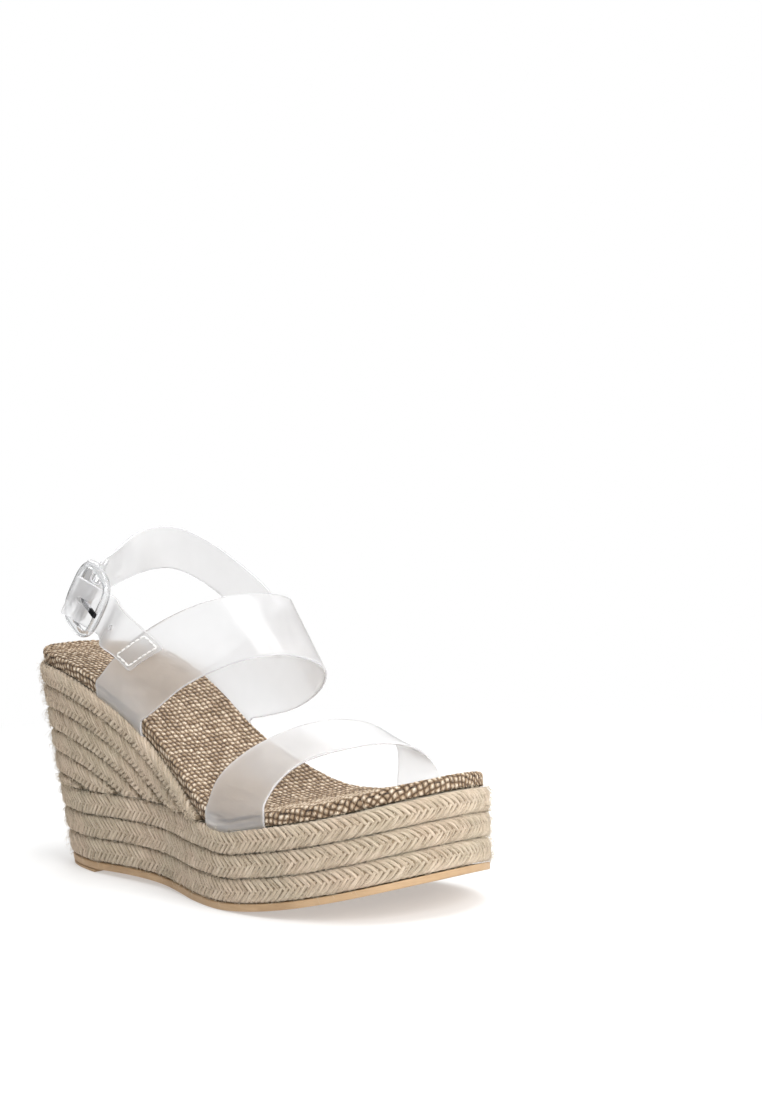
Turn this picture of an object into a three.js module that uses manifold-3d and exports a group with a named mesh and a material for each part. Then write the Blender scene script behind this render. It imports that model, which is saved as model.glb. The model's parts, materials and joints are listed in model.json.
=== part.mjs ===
// Wedge espadrille sandal for the right foot, buckled, as it stands on the floor.
// Millimetres. +X runs from heel to toe, +Y to the inner side of the foot, +Z up.
import * as THREE from 'three';
import Module from 'manifold-3d';
import { mergeVertices } from 'three/addons/utils/BufferGeometryUtils.js';

const wasm = await Module();
wasm.setup();

// ---------------------------------------------------------------- driving dimensions
const GAP = 0.3;               // clearance left between pieces that touch
const HALF_GAP = GAP / 2;

const SOLE_LENGTH = 226;       // heel to toe along the ground outline
const HEEL_HEIGHT = 87;        // ground to top of braid at the back of the heel
const HEEL_LEAN = 19;          // overhang of the heel back at that height
const HEEL_FLARE = 0.11;       // widening of the heel wall from ground to top
const LEAN_END = 92;           // X where the wall has become upright
const HEEL_PIECE = 1.4;        // thickness of the heel top piece
const HEEL_PIECE_END = 38;     // X of its straight front edge
const OUTSOLE = 3;
const OUTSOLE_OUT = 0.6;       // its edge outside the ground outline
const ARCH_RISE = 1.3;         // extra lift of the outsole between heel and ball
const BALL_START = 118;        // the outsole lies flat on the ground from here
const BALL_END = 138;          // to here, where the toe spring starts
const TOE_SPRING = 15.4;
const PLATFORM = 32.9;         // outsole bottom to the top of the third braid

const BRAID_HALF_WIDTH = 2.7;  // half of the braid's thickness across the wall
const BRAID_OUT = -1.5;        // braid centre outside the ground outline: it sits inside
const BRAID_SQUARENESS = 2.6;
const FAN_BRAID = 9.7;         // height of a wedge braid at the heel
const FAN_TAPER = 0.33;        // part of it lost towards the waist
const FAN_COUNT = 6;
const FAN_MIN_HEIGHT = 2.4;    // a wedge braid is trimmed off where it gets thinner

const BOARD = 2;               // insole board
const FOAM = 2;
const COVER = 1.2;             // woven cover of the footbed
const RIM = 5.8;               // footbed edge above the top braid
const RIM_INSET = 1.25;
const SHANK_WIDTH = 12;
const SHANK = 1.6;
const SHANK_SPAN = [52, 128];  // X of its two ends on the footbed ramp

const VINYL = 1.1;             // strap thickness
const STRAP_RIM_INSET = 0.25;  // strap centre inside the outline where it passes the rim
const TAIL = 14;               // length of strap lasted under the insole board
const ANKLE_WIDTH = 19.6;

const FRAME = { halfLength: 12.4, halfHeight: 15.9, rail: 3.6, halfThick: 1.6 };
const BAR_RADIUS = 1.2;
const PRONG = { eye: 1.5, outer: 2.4, width: 2.2, thick: 1.2, reach: 12 };
const THREAD = 0.35;           // thread radius
const STITCH_LIFT = 0.75;      // clearance of a thread run from the strap's face

// ---------------------------------------------------------------- materials
const finish = (color, roughness, metalness = 0, opacity = 1) =>
  new THREE.MeshStandardMaterial({
    color, roughness, metalness, opacity, transparent: opacity < 1 });

const jute = () => finish(0xcdb995, 0.95);
const wovenJute = () => finish(0xb08c62, 0.95);
const tanRubber = () => finish(0xc9995f, 0.6);
const clearVinyl = () => finish(0xf4f4f6, 0.12, 0, 0.35);
const foam = () => finish(0xe9e2d2, 0.9);
const whiteThread = () => finish(0xf7f6f2, 0.6);
const steel = () => finish(0x9a9c9f, 0.35, 1);

// ---------------------------------------------------------------- small helpers
const clamp01 = (v) => Math.min(1, Math.max(0, v));
const mix = (a, b, f) => a + (b - a) * f;
const smooth = (v) => clamp01(v) ** 2 * (3 - 2 * clamp01(v));
const vec = (x, y, z) => new THREE.Vector3(x, y, z);
const range = (n) => Array.from({ length: n }, (_, i) => i);

// A smooth height curve through a few [x, z] stations.
function heightCurve(stations) {
  const curve = new THREE.CatmullRomCurve3(
    stations.map(([x, z]) => vec(x, 0, z)), false, 'centripetal');
  const points = curve.getPoints(12 * stations.length);
  return (x) => {
    const i = Math.max(1, points.findIndex((p) => p.x >= x));
    const [p, q] = x >= points.at(-1).x ? points.slice(-2) : [points[i - 1], points[i]];
    return mix(p.z, q.z, (x - p.x) / (q.x - p.x));
  };
}

const sandal = new THREE.Group();

function place(name, geometry, material, parent = sandal) {
  const mesh = new THREE.Mesh(geometry, material);
  mesh.name = name;
  parent.add(mesh);
  return mesh;
}

// ---------------------------------------------------------------- closed surfaces
// Rings of equal length, joined in order; first and last rings are closed as caps.
function geometryFrom(points, triangles) {
  const geometry = new THREE.BufferGeometry();
  geometry.setAttribute('position',
    new THREE.Float32BufferAttribute(points.flatMap((p) => [p.x, p.y, p.z]), 3));
  geometry.setIndex(triangles.flat());
  return outward(geometry);
}

// Turns every face round if the body's volume comes out negative.
function outward(geometry) {
  const p = geometry.getAttribute('position');
  const index = geometry.getIndex().array;
  const [a, b, c] = [vec(), vec(), vec()];
  let volume = 0;
  for (let i = 0; i < index.length; i += 3) {
    a.fromBufferAttribute(p, index[i]);
    b.fromBufferAttribute(p, index[i + 1]);
    c.fromBufferAttribute(p, index[i + 2]);
    volume += a.dot(b.cross(c));
  }
  if (volume < 0) {
    for (let i = 0; i < index.length; i += 3) {
      [index[i], index[i + 1]] = [index[i + 1], index[i]];
    }
  }
  geometry.computeVertexNormals();
  return geometry;
}

function sideTriangles(ringCount, n, loop) {
  const triangles = [];
  for (const r of range(loop ? ringCount : ringCount - 1)) {
    for (const i of range(n)) {
      const j = (i + 1) % n;
      const [a, b] = [r * n, ((r + 1) % ringCount) * n];
      triangles.push([a + i, a + j, b + j], [a + i, b + j, b + i]);
    }
  }
  return triangles;
}

// A ring of the sole runs along the outer side and back along the inner side, and a
// strap's section runs along one face and back along the other. Either way a cap is a
// ladder of strips between the two sides.
function ladder(start, n, flip) {
  const triangles = [];
  for (const i of range(n / 2 - 1)) {
    const [a, b] = [start + i, start + i + 1];
    const [c, d] = [start + n - 2 - i, start + n - 1 - i];
    triangles.push([a, b, c], [a, c, d]);
  }
  return flip ? triangles.map(([a, b, c]) => [a, c, b]) : triangles;
}

function stack(rings) {
  const n = rings[0].length;
  return geometryFrom(rings.flat(), [
    ...sideTriangles(rings.length, n, false),
    ...ladder(0, n, true),
    ...ladder((rings.length - 1) * n, n, false),
  ]);
}

// Sections swept along a path: closed into a loop, or capped with a fan at both ends.
function sweep(sections, loop) {
  const n = sections[0].length;
  const last = (sections.length - 1) * n;
  const caps = loop ? [] : range(n - 2).flatMap((i) => [
    [0, i + 2, i + 1], [last, last + i + 1, last + i + 2]]);
  return geometryFrom(sections.flat(), [...sideTriangles(sections.length, n, loop), ...caps]);
}

// ---------------------------------------------------------------- joins and cuts
function solid(geometry) {
  const bare = geometry.clone();
  for (const name of Object.keys(bare.attributes)) {
    if (name !== 'position') bare.deleteAttribute(name);
  }
  const merged = mergeVertices(bare, 1e-4);
  return new wasm.Manifold(new wasm.Mesh({
    numProp: 3,
    vertProperties: new Float32Array(merged.getAttribute('position').array),
    triVerts: new Uint32Array(merged.getIndex().array),
  }));
}

function geometryOf(body) {
  const mesh = body.getMesh();
  const geometry = new THREE.BufferGeometry();
  geometry.setAttribute('position',
    new THREE.Float32BufferAttribute(Array.from(mesh.vertProperties), 3));
  geometry.setIndex(Array.from(mesh.triVerts));
  geometry.computeVertexNormals();
  return geometry;
}

// What is left of a body after the cuts; chips that a cut sets free are dropped.
function cut(geometry, tools) {
  let body = solid(geometry);
  for (const tool of tools) body = body.subtract(solid(tool));
  const pieces = body.decompose().sort((a, b) => b.volume() - a.volume());
  return geometryOf(pieces[0]);
}

// ---------------------------------------------------------------- the sole's form
// Ground outline: heel back, outer side, toe, inner side.
const OUTLINE = new THREE.CatmullRomCurve3([
  vec(4.6, -2.1, 0), vec(11, -14.5, 0), vec(33.5, -24.5, 0), vec(89.4, -30.6, 0),
  vec(145.1, -45.9, 0), vec(189.4, -41.6, 0), vec(216, -25.8, 0),
  vec(SOLE_LENGTH, 3, 0),
  vec(220.3, 24.6, 0), vec(203.8, 41.4, 0), vec(169, 46.2, 0), vec(95.1, 24.3, 0),
  vec(32.7, 27.9, 0), vec(9.1, 15.9, 0),
], true, 'centripetal');
const SIDE_STEPS = 35;         // stations along each side of the outline

// Outline parameter u: 0 at the heel back, 0.5 at the toe, 1 back at the heel.
function outline(u, offset = 0) {
  const t = ((u % 1) + 1) % 1;
  const p = OUTLINE.getPoint(t);
  const along = OUTLINE.getTangent(t);
  return vec(p.x + along.y * offset, p.y - along.x * offset, 0);
}

const lean = (x) => clamp01(1 - x / LEAN_END);

function soleBottom(x) {
  if (x <= HEEL_PIECE_END) return HEEL_PIECE;
  if (x < BALL_START) {
    const f = (x - HEEL_PIECE_END) / (BALL_START - HEEL_PIECE_END);
    return HEEL_PIECE * (1 - smooth(f)) + ARCH_RISE * Math.sin(Math.PI * f);
  }
  if (x <= BALL_END) return 0;
  return TOE_SPRING * ((x - BALL_END) / (SOLE_LENGTH - BALL_END)) ** 1.7;
}

// Top line of the braid wall: the heel ramp, then the platform with its toe spring.
const rampTop = heightCurve([
  [-20, 86.8], [20, 84.1], [44, 77.5], [68, 67.1], [92, 52.7], [112, 42], [131, 33.5],
  [146, 31.9],
  ...[165, 194, SOLE_LENGTH + 8].map((x) => [x, soleBottom(x) + PLATFORM]),
]);

const xAt = (u) => outline(u).x;
const topAt = (x) => rampTop(x - 0.9 * HEEL_LEAN * lean(x));
const top = (u) => topAt(xAt(u));
const platformTop = (u) => Math.min(soleBottom(xAt(u)) + PLATFORM, top(u));
const outsoleTop = (u) => soleBottom(xAt(u)) + OUTSOLE;

// Point of the wall at outline parameter u, offset outwards by r, at height z.
function wall(u, r, z) {
  const p = outline(u, r);
  const k = (z / HEEL_HEIGHT) * lean(xAt(u));
  return vec(p.x - HEEL_LEAN * k, p.y * (1 + HEEL_FLARE * k), z);
}

// Outline parameter on one side where the top of the wall reaches a given X.
function uAtTop(x, side) {
  let [low, high] = [0, 0.5];
  for (const _ of range(30)) {
    const middle = (low + high) / 2;
    const u = side < 0 ? middle : 1 - middle;
    if (wall(u, 0, top(u)).x < x) low = middle; else high = middle;
  }
  return side < 0 ? low : 1 - low;
}

// The place straight across the sole, where the wall's top has the same X.
const opposite = (u) => uAtTop(wall(u, 0, top(u)).x, u < 0.5 ? 1 : -1);

// Stations of a ring round the sole. Each one faces its opposite, so that the
// surfaces stretched across the sole are level from side to side.
const OUTER_STATIONS = range(SIDE_STEPS).map((i) => (i + 0.5) / (2 * SIDE_STEPS));
const RING = [...OUTER_STATIONS, ...OUTER_STATIONS.map(opposite).reverse()];
const ring = (r, height) => RING.map((u) => wall(u, r, height(u)));

// Point of the footbed ramp, `inward` millimetres from the wall line at offset r.
function rampPoint(u, r, inward, dz) {
  const near = wall(u, r, top(u) + dz);
  const v = opposite(u);
  const far = wall(v, r, top(v) + dz);
  return near.lerp(far, inward / near.distanceTo(far));
}

// ---------------------------------------------------------------- outsole and heel piece
place('outsole', stack([
  ring(OUTSOLE_OUT, (u) => soleBottom(xAt(u))),
  ring(OUTSOLE_OUT, outsoleTop),
]), tanRubber());

function heelPieceRing(z) {
  let end = 0;
  while (xAt(end) < HEEL_PIECE_END) end += 0.0005;
  let back = 1;
  while (xAt(back) < HEEL_PIECE_END) back -= 0.0005;
  const steps = 12;
  const outer = range(steps + 1).map((i) => (end * (i + 0.5)) / (steps + 0.5));
  const inner = range(steps + 1).map((i) => 1 - ((1 - back) * (i + 0.5)) / (steps + 0.5));
  return [...outer, ...inner.reverse()].map((u) => wall(u, OUTSOLE_OUT, z));
}
place('heel_top_piece', stack([
  heelPieceRing(0), heelPieceRing(HEEL_PIECE - GAP)]), tanRubber());

// ---------------------------------------------------------------- straps: paths
const BEND_START = 1.85;       // from this far inside the outline a root bends up

// Where a strap edge enters the sole: along the underside of the insole board,
// round the board's edge and up past the rim. Pairs are [offset, height above top].
const STRAP_ROOT = [
  [-TAIL, -1.2], [-5, -1.1], [-BEND_START, -1], [-0.75, -0.5], [-STRAP_RIM_INSET, 0.6],
  [-STRAP_RIM_INSET, 3.2],
];
const ROOT_TOP = [-STRAP_RIM_INSET, 5.8];

const rootPoint = (u, [r, dz]) =>
  rampPoint(u, Math.max(r, -BEND_START), Math.max(0, -r - BEND_START), dz);

const ROOT_FADE = 14;          // above the rim the strap's bow fades over this length

// An arched strap as rows of points, each row from the rear edge to the front edge.
// An edge is { outer, inner, arch }: its X where it passes the rim on each side, and
// the points that its free arch passes through, from the outer side to the inner side.
function archGrid(rear, front, steps, across) {
  const root = (u) => rootPoint(u, ROOT_TOP);
  const edges = [rear, front].map(({ outer, inner, arch }) => {
    const [from, to] = [uAtTop(outer, -1), uAtTop(inner, 1)];
    const free = new THREE.CatmullRomCurve3(
      [root(from), ...arch.map((p) => vec(...p)), root(to)], false, 'centripetal');
    return { from, to, points: free.getSpacedPoints(steps) };
  });
  const [r, f] = edges;
  const fractions = range(across + 1).map((j) => j / across);
  const rootRow = (end, spot) =>
    fractions.map((g) => rootPoint(mix(r[end], f[end], g), spot));
  // How far the rim bows out of the straight line between the strap's two edges.
  const bow = (end) => rootRow(end, ROOT_TOP).map((p, j, row) =>
    p.clone().sub(row[0].clone().lerp(row.at(-1), fractions[j])));
  const [outerBow, innerBow] = [bow('from'), bow('to')];
  const rows = r.points.map((p, i) => fractions.map((g, j) => {
    const q = f.points[i];
    const fade = (end) => 1 - smooth(p.distanceTo(end) / ROOT_FADE);
    return p.clone().lerp(q, g)
      .addScaledVector(outerBow[j], fade(r.points[0]))
      .addScaledVector(innerBow[j], fade(r.points.at(-1)));
  }));
  return [
    ...STRAP_ROOT.map((spot) => rootRow('from', spot)),
    ...rows,
    ...STRAP_ROOT.toReversed().map((spot) => rootRow('to', spot)),
  ];
}

const TOE_GRID = archGrid({
  outer: 134,
  inner: 153.5,
  arch: [
    [138.7, -40.7, 51.4], [141.6, -29.1, 60.1], [145.5, -14.6, 66], [148.4, 1, 68.9],
    [151.3, 14.6, 68.9], [155.2, 29.1, 65], [156.4, 40.2, 56],
  ],
}, {
  outer: 170.7,
  inner: 176.5,
  arch: [
    [168.8, -43.2, 43.9], [167.8, -34.9, 51.4], [166.8, -21.3, 57.2], [167.8, 2.9, 60.1],
    [169.8, 26.2, 59.2], [171.7, 39.8, 54.3], [174, 46.6, 46.6],
  ],
}, 30, 5);

const INSTEP_GRID = archGrid({
  outer: 47.8,
  inner: 50.8,
  arch: [
    [60.5, -28.8, 92.5], [74.4, -25.9, 102.9], [93.3, -17.6, 113.5],
    [107.2, -6.2, 118.7], [113, 13.1, 118.2], [108.9, 27.6, 113.7],
    [95.6, 31, 106.5], [77.2, 30.6, 94.9],
  ],
}, {
  outer: 77.7,
  inner: 85.2,
  arch: [
    [89, -29.6, 74], [102.8, -26.5, 83.6], [123.2, -16.9, 93.4], [135.8, -3.5, 96.2],
    [139.7, 10.6, 92.5], [134.7, 22.6, 86.1], [122.6, 29.2, 76.5], [105.6, 29.8, 67.9],
  ],
}, 36, 3);

// ---------------------------------------------------------------- straps: solids
function gridNormals(grid) {
  return grid.map((row, i) => row.map((_, j) => {
    const before = grid[Math.max(i - 1, 0)][j];
    const after = grid[Math.min(i + 1, grid.length - 1)][j];
    const along = after.clone().sub(before);
    const across = row[Math.min(j + 1, row.length - 1)].clone()
      .sub(row[Math.max(j - 1, 0)]);
    return across.cross(along).normalize();
  }));
}

// A sheet of even thickness round a grid of points.
function sheet(grid, thickness = VINYL, widen = 0) {
  const normals = gridNormals(grid);
  const sections = grid.map((row, i) => {
    const side = row.at(-1).clone().sub(row[0]).setLength(widen);
    const points = row.map((p, j) => {
      const shift = j === 0 ? -1 : Number(j === row.length - 1);
      return p.clone().addScaledVector(side, shift);
    });
    const offset = (sign) => points.map((p, j) =>
      p.clone().addScaledVector(normals[i][j], (sign * thickness) / 2));
    return [...offset(1), ...offset(-1).reverse()];
  });
  return stack(sections);
}

// The same sheet with the clearance that its neighbours keep from it.
function clearance(grid) {
  const pushed = (row, next) => row.map((p, j) =>
    p.clone().addScaledVector(p.clone().sub(next[j]).normalize(), GAP));
  return sheet([
    pushed(grid[0], grid[1]), ...grid.slice(1, -1), pushed(grid.at(-1), grid.at(-2)),
  ], VINYL + 2 * GAP, GAP);
}

// Position and outward normal on a strap, `along` millimetres from its start and at
// the fraction `f` across.
function onStrap(grid, along, f) {
  const normals = gridNormals(grid);
  const j = Math.min(Math.floor(f * (grid[0].length - 1)), grid[0].length - 2);
  const g = f * (grid[0].length - 1) - j;
  const middle = Math.floor(grid[0].length / 2);
  let travelled = 0;
  for (const i of range(grid.length - 1)) {
    const step = grid[i][middle].distanceTo(grid[i + 1][middle]);
    if (travelled + step >= along || i === grid.length - 2) {
      const t = clamp01((along - travelled) / step);
      const blend = (table) => table[i][j].clone().lerp(table[i][j + 1], g)
        .lerp(table[i + 1][j].clone().lerp(table[i + 1][j + 1], g), t);
      return { point: blend(grid), normal: blend(normals).normalize() };
    }
    travelled += step;
  }
  return null;
}

// Length along a strap from its start to one of its rows.
function gridLength(grid, row) {
  const middle = Math.floor(grid[0].length / 2);
  return range(row).reduce(
    (sum, i) => sum + grid[i][middle].distanceTo(grid[i + 1][middle]), 0);
}

// Nearest place on a strap to a point.
function nearest(grid, point) {
  const normals = gridNormals(grid);
  const fine = 5;
  let best = { distance: Infinity };
  for (const i of range(grid.length - 1)) {
    if (grid[i][0].distanceTo(point) > 60) continue;
    for (const a of range(fine)) {
      for (const j of range(grid[0].length - 1)) {
        for (const b of range(9)) {
          const blend = (table) => table[i][j].clone().lerp(table[i][j + 1], b / 8)
            .lerp(table[i + 1][j].clone().lerp(table[i + 1][j + 1], b / 8), a / fine);
          const p = blend(grid);
          const distance = p.distanceTo(point);
          if (distance < best.distance) {
            best = { distance, point: p, normal: blend(normals).normalize() };
          }
        }
      }
    }
  }
  return best;
}

// Lays the first `length` millimetres of a strap on the instep strap, and eases into
// the strap's own path over the next `ease` millimetres.
function layOnInstep(grid, length, ease) {
  const lift = VINYL + GAP;
  const middle = Math.floor(grid[0].length / 2);
  let travelled = 0;
  return grid.map((row, i) => {
    if (i > 0) travelled += row[middle].distanceTo(grid[i - 1][middle]);
    const hold = 1 - smooth((travelled - length) / ease);
    if (hold <= 0) return row;
    return row.map((p) => {
      const base = nearest(INSTEP_GRID, p);
      const height = p.clone().sub(base.point).dot(base.normal);
      return p.clone().addScaledVector(base.normal, (lift - height) * hold);
    });
  });
}

place('toe_strap', sheet(TOE_GRID), clearVinyl());
place('instep_strap', sheet(INSTEP_GRID), clearVinyl());

// ---------------------------------------------------------------- buckle frame
// The buckle's own axes: x forward along the strap, y up along the bar, z outward.
const backward = vec(-0.82, 0.12, 0.56).normalize();
const buckleOut = vec(-0.064, -0.987, 0.119);
buckleOut.addScaledVector(backward, -buckleOut.dot(backward)).normalize();
const buckleUp = backward.clone().cross(buckleOut);
const buckle = new THREE.Group();
buckle.position.set(40.4, -25.5, 116.2);
buckle.quaternion.setFromRotationMatrix(
  new THREE.Matrix4().makeBasis(backward.clone().negate(), buckleUp, buckleOut));
buckle.updateMatrix();
sandal.add(buckle);

const fromBuckle = (x, y, z) => vec(x, y, z).applyMatrix4(buckle.matrix);

function roundedPoint(angle, a, b, squareness) {
  const power = 2 / squareness;
  const [c, s] = [Math.cos(angle), Math.sin(angle)];
  return [a * Math.sign(c) * Math.abs(c) ** power, b * Math.sign(s) * Math.abs(s) ** power];
}

// Section of the frame's rail: [part of the way in from the outer edge, height].
const RAIL_SECTION = [
  [0, -0.8], [0, 0.8], [0.28, FRAME.halfThick], [0.75, FRAME.halfThick], [1, 0.7],
  [1, -0.7], [0.75, -FRAME.halfThick], [0.28, -FRAME.halfThick],
];

function frameGeometry() {
  const steps = 44;
  const sections = range(steps).map((i) => {
    const angle = (2 * Math.PI * i) / steps;
    const [ox, oy] = roundedPoint(angle, FRAME.halfLength, FRAME.halfHeight, 2.8);
    const [ix, iy] = roundedPoint(
      angle, FRAME.halfLength - FRAME.rail, FRAME.halfHeight - FRAME.rail, 5);
    return RAIL_SECTION.map(([f, z]) => vec(mix(ox, ix, f), mix(oy, iy, f), z));
  });
  const bar = new THREE.CylinderGeometry(
    BAR_RADIUS, BAR_RADIUS, 2 * (FRAME.halfHeight - FRAME.rail / 2), 12);
  return geometryOf(solid(sweep(sections, true)).add(solid(bar)));
}
place('buckle_frame', frameGeometry(), clearVinyl(), buckle);

// ---------------------------------------------------------------- buckle prong
// An eye round the bar and a stem that lies on the front rail.
function prongGeometry() {
  const stemLow = FRAME.halfThick + GAP + 0.05;
  const stemHigh = stemLow + PRONG.thick;
  const shape = new THREE.Shape();
  shape.absarc(0, 0, PRONG.outer, Math.PI / 2, (2 * Math.PI) - 0.1, false);
  shape.lineTo(2.5, stemLow - 0.4);
  shape.lineTo(3.6, stemLow);
  shape.lineTo(PRONG.reach, stemLow);
  shape.lineTo(PRONG.reach, stemLow + 0.5);
  shape.lineTo(PRONG.reach - 0.9, stemHigh - 0.15);
  shape.lineTo(2.2, stemHigh);
  shape.closePath();
  const eye = new THREE.Path();
  eye.absarc(0, 0, PRONG.eye, 0, 2 * Math.PI, true);
  shape.holes.push(eye);
  const geometry = new THREE.ExtrudeGeometry(shape, {
    depth: PRONG.width, bevelEnabled: false, curveSegments: 12 });
  geometry.rotateX(Math.PI / 2);
  geometry.translate(0, PRONG.width / 2, 0);
  return geometryOf(solid(geometry));
}
place('buckle_prong', prongGeometry(), steel(), buckle);

// ---------------------------------------------------------------- ankle strap, front piece
// In the buckle's axes the strap runs under the front rail and straight out through
// the window, past the bar.
const PASS_ANGLE = THREE.MathUtils.degToRad(37);
const PASS_RADIUS = 3.5;       // strap centre to bar centre
const passPoint = (t) => [
  PASS_RADIUS * Math.sin(PASS_ANGLE) - t * Math.cos(PASS_ANGLE),
  PASS_RADIUS * Math.cos(PASS_ANGLE) + t * Math.sin(PASS_ANGLE),
];
const STRAP_TIP = 7.2;         // how far the tip sticks out past the bar

const frontPath = new THREE.CatmullRomCurve3([
  [46.5, -2.2], [38, -1.5], [28, -1.9], [20.5, -3], [14.5, -4.2],
  passPoint(-11), passPoint(-7.5), passPoint(-3), passPoint(0), passPoint(3),
  passPoint(STRAP_TIP),
].map(([x, z]) => vec(x, 0, z)), false, 'centripetal');

// The strap's centre drops towards the buckle, and its stitched end is cut askew.
const centreY = (x) => mix(-0.2, 4.6, smooth((x - 8) / 38));
const SKEW_END = 4.5;

const FRONT_GRID = (() => {
  const points = frontPath.getSpacedPoints(44);
  const across = 4;
  return layOnInstep(points.map((p, i) => range(across + 1).map((j) => {
    const f = j / across - 0.5;
    const skew = 2 * SKEW_END * f * clamp01((25 - i) / 14);
    return fromBuckle(p.x + skew, centreY(p.x) + ANKLE_WIDTH * f, p.z);
  })), 19, 19);
})();

// Tool for a hole through a strap: a short rod along the strap's normal, stretched
// along the strap into a slot when `length` is longer than its width.
function holeTool(centre, direction, normal, width, length) {
  const across = normal.clone().cross(direction).normalize();
  const along = across.clone().cross(normal).normalize();
  const half = (length - width) / 2;
  const steps = 16;
  const loop = (depth) => range(steps).map((i) => {
    const angle = (2 * Math.PI * (i + 0.5)) / steps;
    const shift = Math.cos(angle) > 0 ? half : -half;
    return centre.clone().addScaledVector(normal, depth)
      .addScaledVector(along, (width / 2) * Math.cos(angle) + shift)
      .addScaledVector(across, (width / 2) * Math.sin(angle));
  });
  return sweep([loop(-2.2), loop(2.2)], false);
}

function frontHoles() {
  const tools = [];
  const direction = fromBuckle(1, 0, 0).sub(fromBuckle(0, 0, 0));
  const [px, pz] = passPoint(0.45);
  const strapDirection = fromBuckle(-Math.cos(PASS_ANGLE), 0, Math.sin(PASS_ANGLE))
    .sub(fromBuckle(0, 0, 0));
  const strapNormal = fromBuckle(Math.sin(PASS_ANGLE), 0, Math.cos(PASS_ANGLE))
    .sub(fromBuckle(0, 0, 0));
  // The hole in use is pulled to an oval; the prong passes it off the strap's centre.
  tools.push(holeTool(fromBuckle(px, 0, pz), strapDirection, strapNormal, 2.9, 6.1));
  for (const along of [26]) {
    const spot = onStrap(FRONT_GRID, along, 0.5);
    tools.push(holeTool(spot.point, direction, spot.normal, 2.6, 2.6));
  }
  return tools;
}
place('ankle_strap_front', cut(sheet(FRONT_GRID), frontHoles()), clearVinyl());

// ---------------------------------------------------------------- ankle strap, rear piece
// Folded round the bar, doubled on the inner side, then round the heel to the inner
// side of the instep strap. Each point is a strap centre and its upward direction.
const REAR_RUN = [
  [[23.6, -10.6, 121.2], [0.43, 0.29, 0.85]],
  [[17.2, -0.3, 122.4], [0.48, 0.05, 0.87]],
  [[13.9, 10.6, 125], [0.47, -0.18, 0.86]],
  [[13.8, 20.5, 128.9], [0.34, -0.4, 0.85]],
  [[18.3, 28.1, 132.1], [0.12, -0.33, 0.93]],
  [[28.4, 32.6, 132.5], [0.17, -0.14, 0.97]],
  [[42.9, 34.8, 128.5], [0.36, -0.08, 0.93]],
  [[60.5, 35.5, 120.6], [0.46, -0.07, 0.89]],
  [[80.5, 35.4, 109.3], [0.52, -0.02, 0.85]],
  [[100.5, 34.2, 96], [0.58, 0.03, 0.81]],
];
const FLAP_GAP = VINYL + GAP + 0.1;
const FOLD_END = 11;           // row of the strap where the doubled part leaves the bar
const FLAP_ROWS = 18;

function rearGrid() {
  const up = buckleUp;
  // Fold, in the buckle's axes: the flap's start, under and round the bar, back out
  // beneath the rear rail.
  const foldRadius = PRONG.eye + VINYL / 2;
  const fold = [
    ...range(7).map((i) => {
      const angle = -Math.PI / 2 + (Math.PI * i) / 6;
      return [foldRadius * Math.cos(angle), foldRadius * Math.sin(angle)];
    }),
    [-2.2, 1.15], [-4.6, -0.9], [-7, -2.75], [-10.6, -3.75], [-13.5, -3.9],
  ].map(([x, z]) => ({ centre: fromBuckle(x, 0, z), up }));
  const run = REAR_RUN.map(([c, d]) => ({ centre: vec(...c), up: vec(...d).normalize() }));
  const stations = [...fold, ...run];
  const centres = new THREE.CatmullRomCurve3(
    stations.map((s) => s.centre), false, 'centripetal');
  const ups = new THREE.CatmullRomCurve3(stations.map((s) => s.up), false, 'catmullrom');
  const rows = [];
  for (const i of range(stations.length - 1)) {
    const pieces = i < fold.length - 3 ? 1 : 4;
    for (const k of range(pieces)) rows.push((i + k / pieces) / (stations.length - 1));
  }
  rows.push(1);
  return rows.map((t) => {
    const centre = centres.getPoint(t);
    const along = centres.getTangent(t);
    const side = ups.getPoint(t);
    side.addScaledVector(along, -side.dot(along)).setLength(ANKLE_WIDTH / 2);
    return range(5).map((j) => centre.clone().addScaledVector(side, j / 2 - 1));
  });
}

// The flap lies on the inner side of the strap, from the fold to its cut end.
function withFlap(grid) {
  const normals = gridNormals(grid);
  const flap = [];
  for (let i = FLAP_ROWS + FOLD_END - 2; i >= FOLD_END - 1; i -= 1) {
    flap.push(grid[i].map((p, j) => p.clone().addScaledVector(normals[i][j], -FLAP_GAP)));
  }
  return [...flap, ...grid];
}

const RUN_GRID = rearGrid();
const REAR_GRID = withFlap(layOnInstep(RUN_GRID.toReversed(), 13, 14).toReversed());

// The fold is slotted so that the prong's eye sits on the bar between its two halves.
function prongSlot() {
  const slot = new THREE.BoxGeometry(7, PRONG.width + 4 * GAP, 8);
  slot.translate(0.4, 0, 0);
  return slot.applyMatrix4(buckle.matrix);
}
place('ankle_strap_rear', cut(sheet(REAR_GRID), [prongSlot()]), clearVinyl());

// ---------------------------------------------------------------- stitching
// A closed run of thread on the outer face of a strap, through the listed corners:
// [millimetres from the strap's start, fraction across].
function threadLoop(grid, corners, perSide = 5) {
  const spots = corners.flatMap(([along, f], i) => {
    const [nextAlong, nextF] = corners[(i + 1) % corners.length];
    return range(perSide).map((k) =>
      onStrap(grid, mix(along, nextAlong, k / perSide), mix(f, nextF, k / perSide)));
  });
  const centres = spots.map(({ point, normal }) =>
    point.clone().addScaledVector(normal, VINYL / 2 + STITCH_LIFT + THREAD));
  return sweep(centres.map((p, i) => {
    const before = centres[(i + centres.length - 1) % centres.length];
    const along = centres[(i + 1) % centres.length].clone().sub(before).normalize();
    const out = spots[i].normal.clone().addScaledVector(
      along, -spots[i].normal.dot(along)).normalize();
    const side = along.clone().cross(out);
    return range(4).map((k) => p.clone()
      .addScaledVector(out, THREAD * Math.cos((k * Math.PI) / 2))
      .addScaledVector(side, THREAD * Math.sin((k * Math.PI) / 2)));
  }), true);
}

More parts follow.
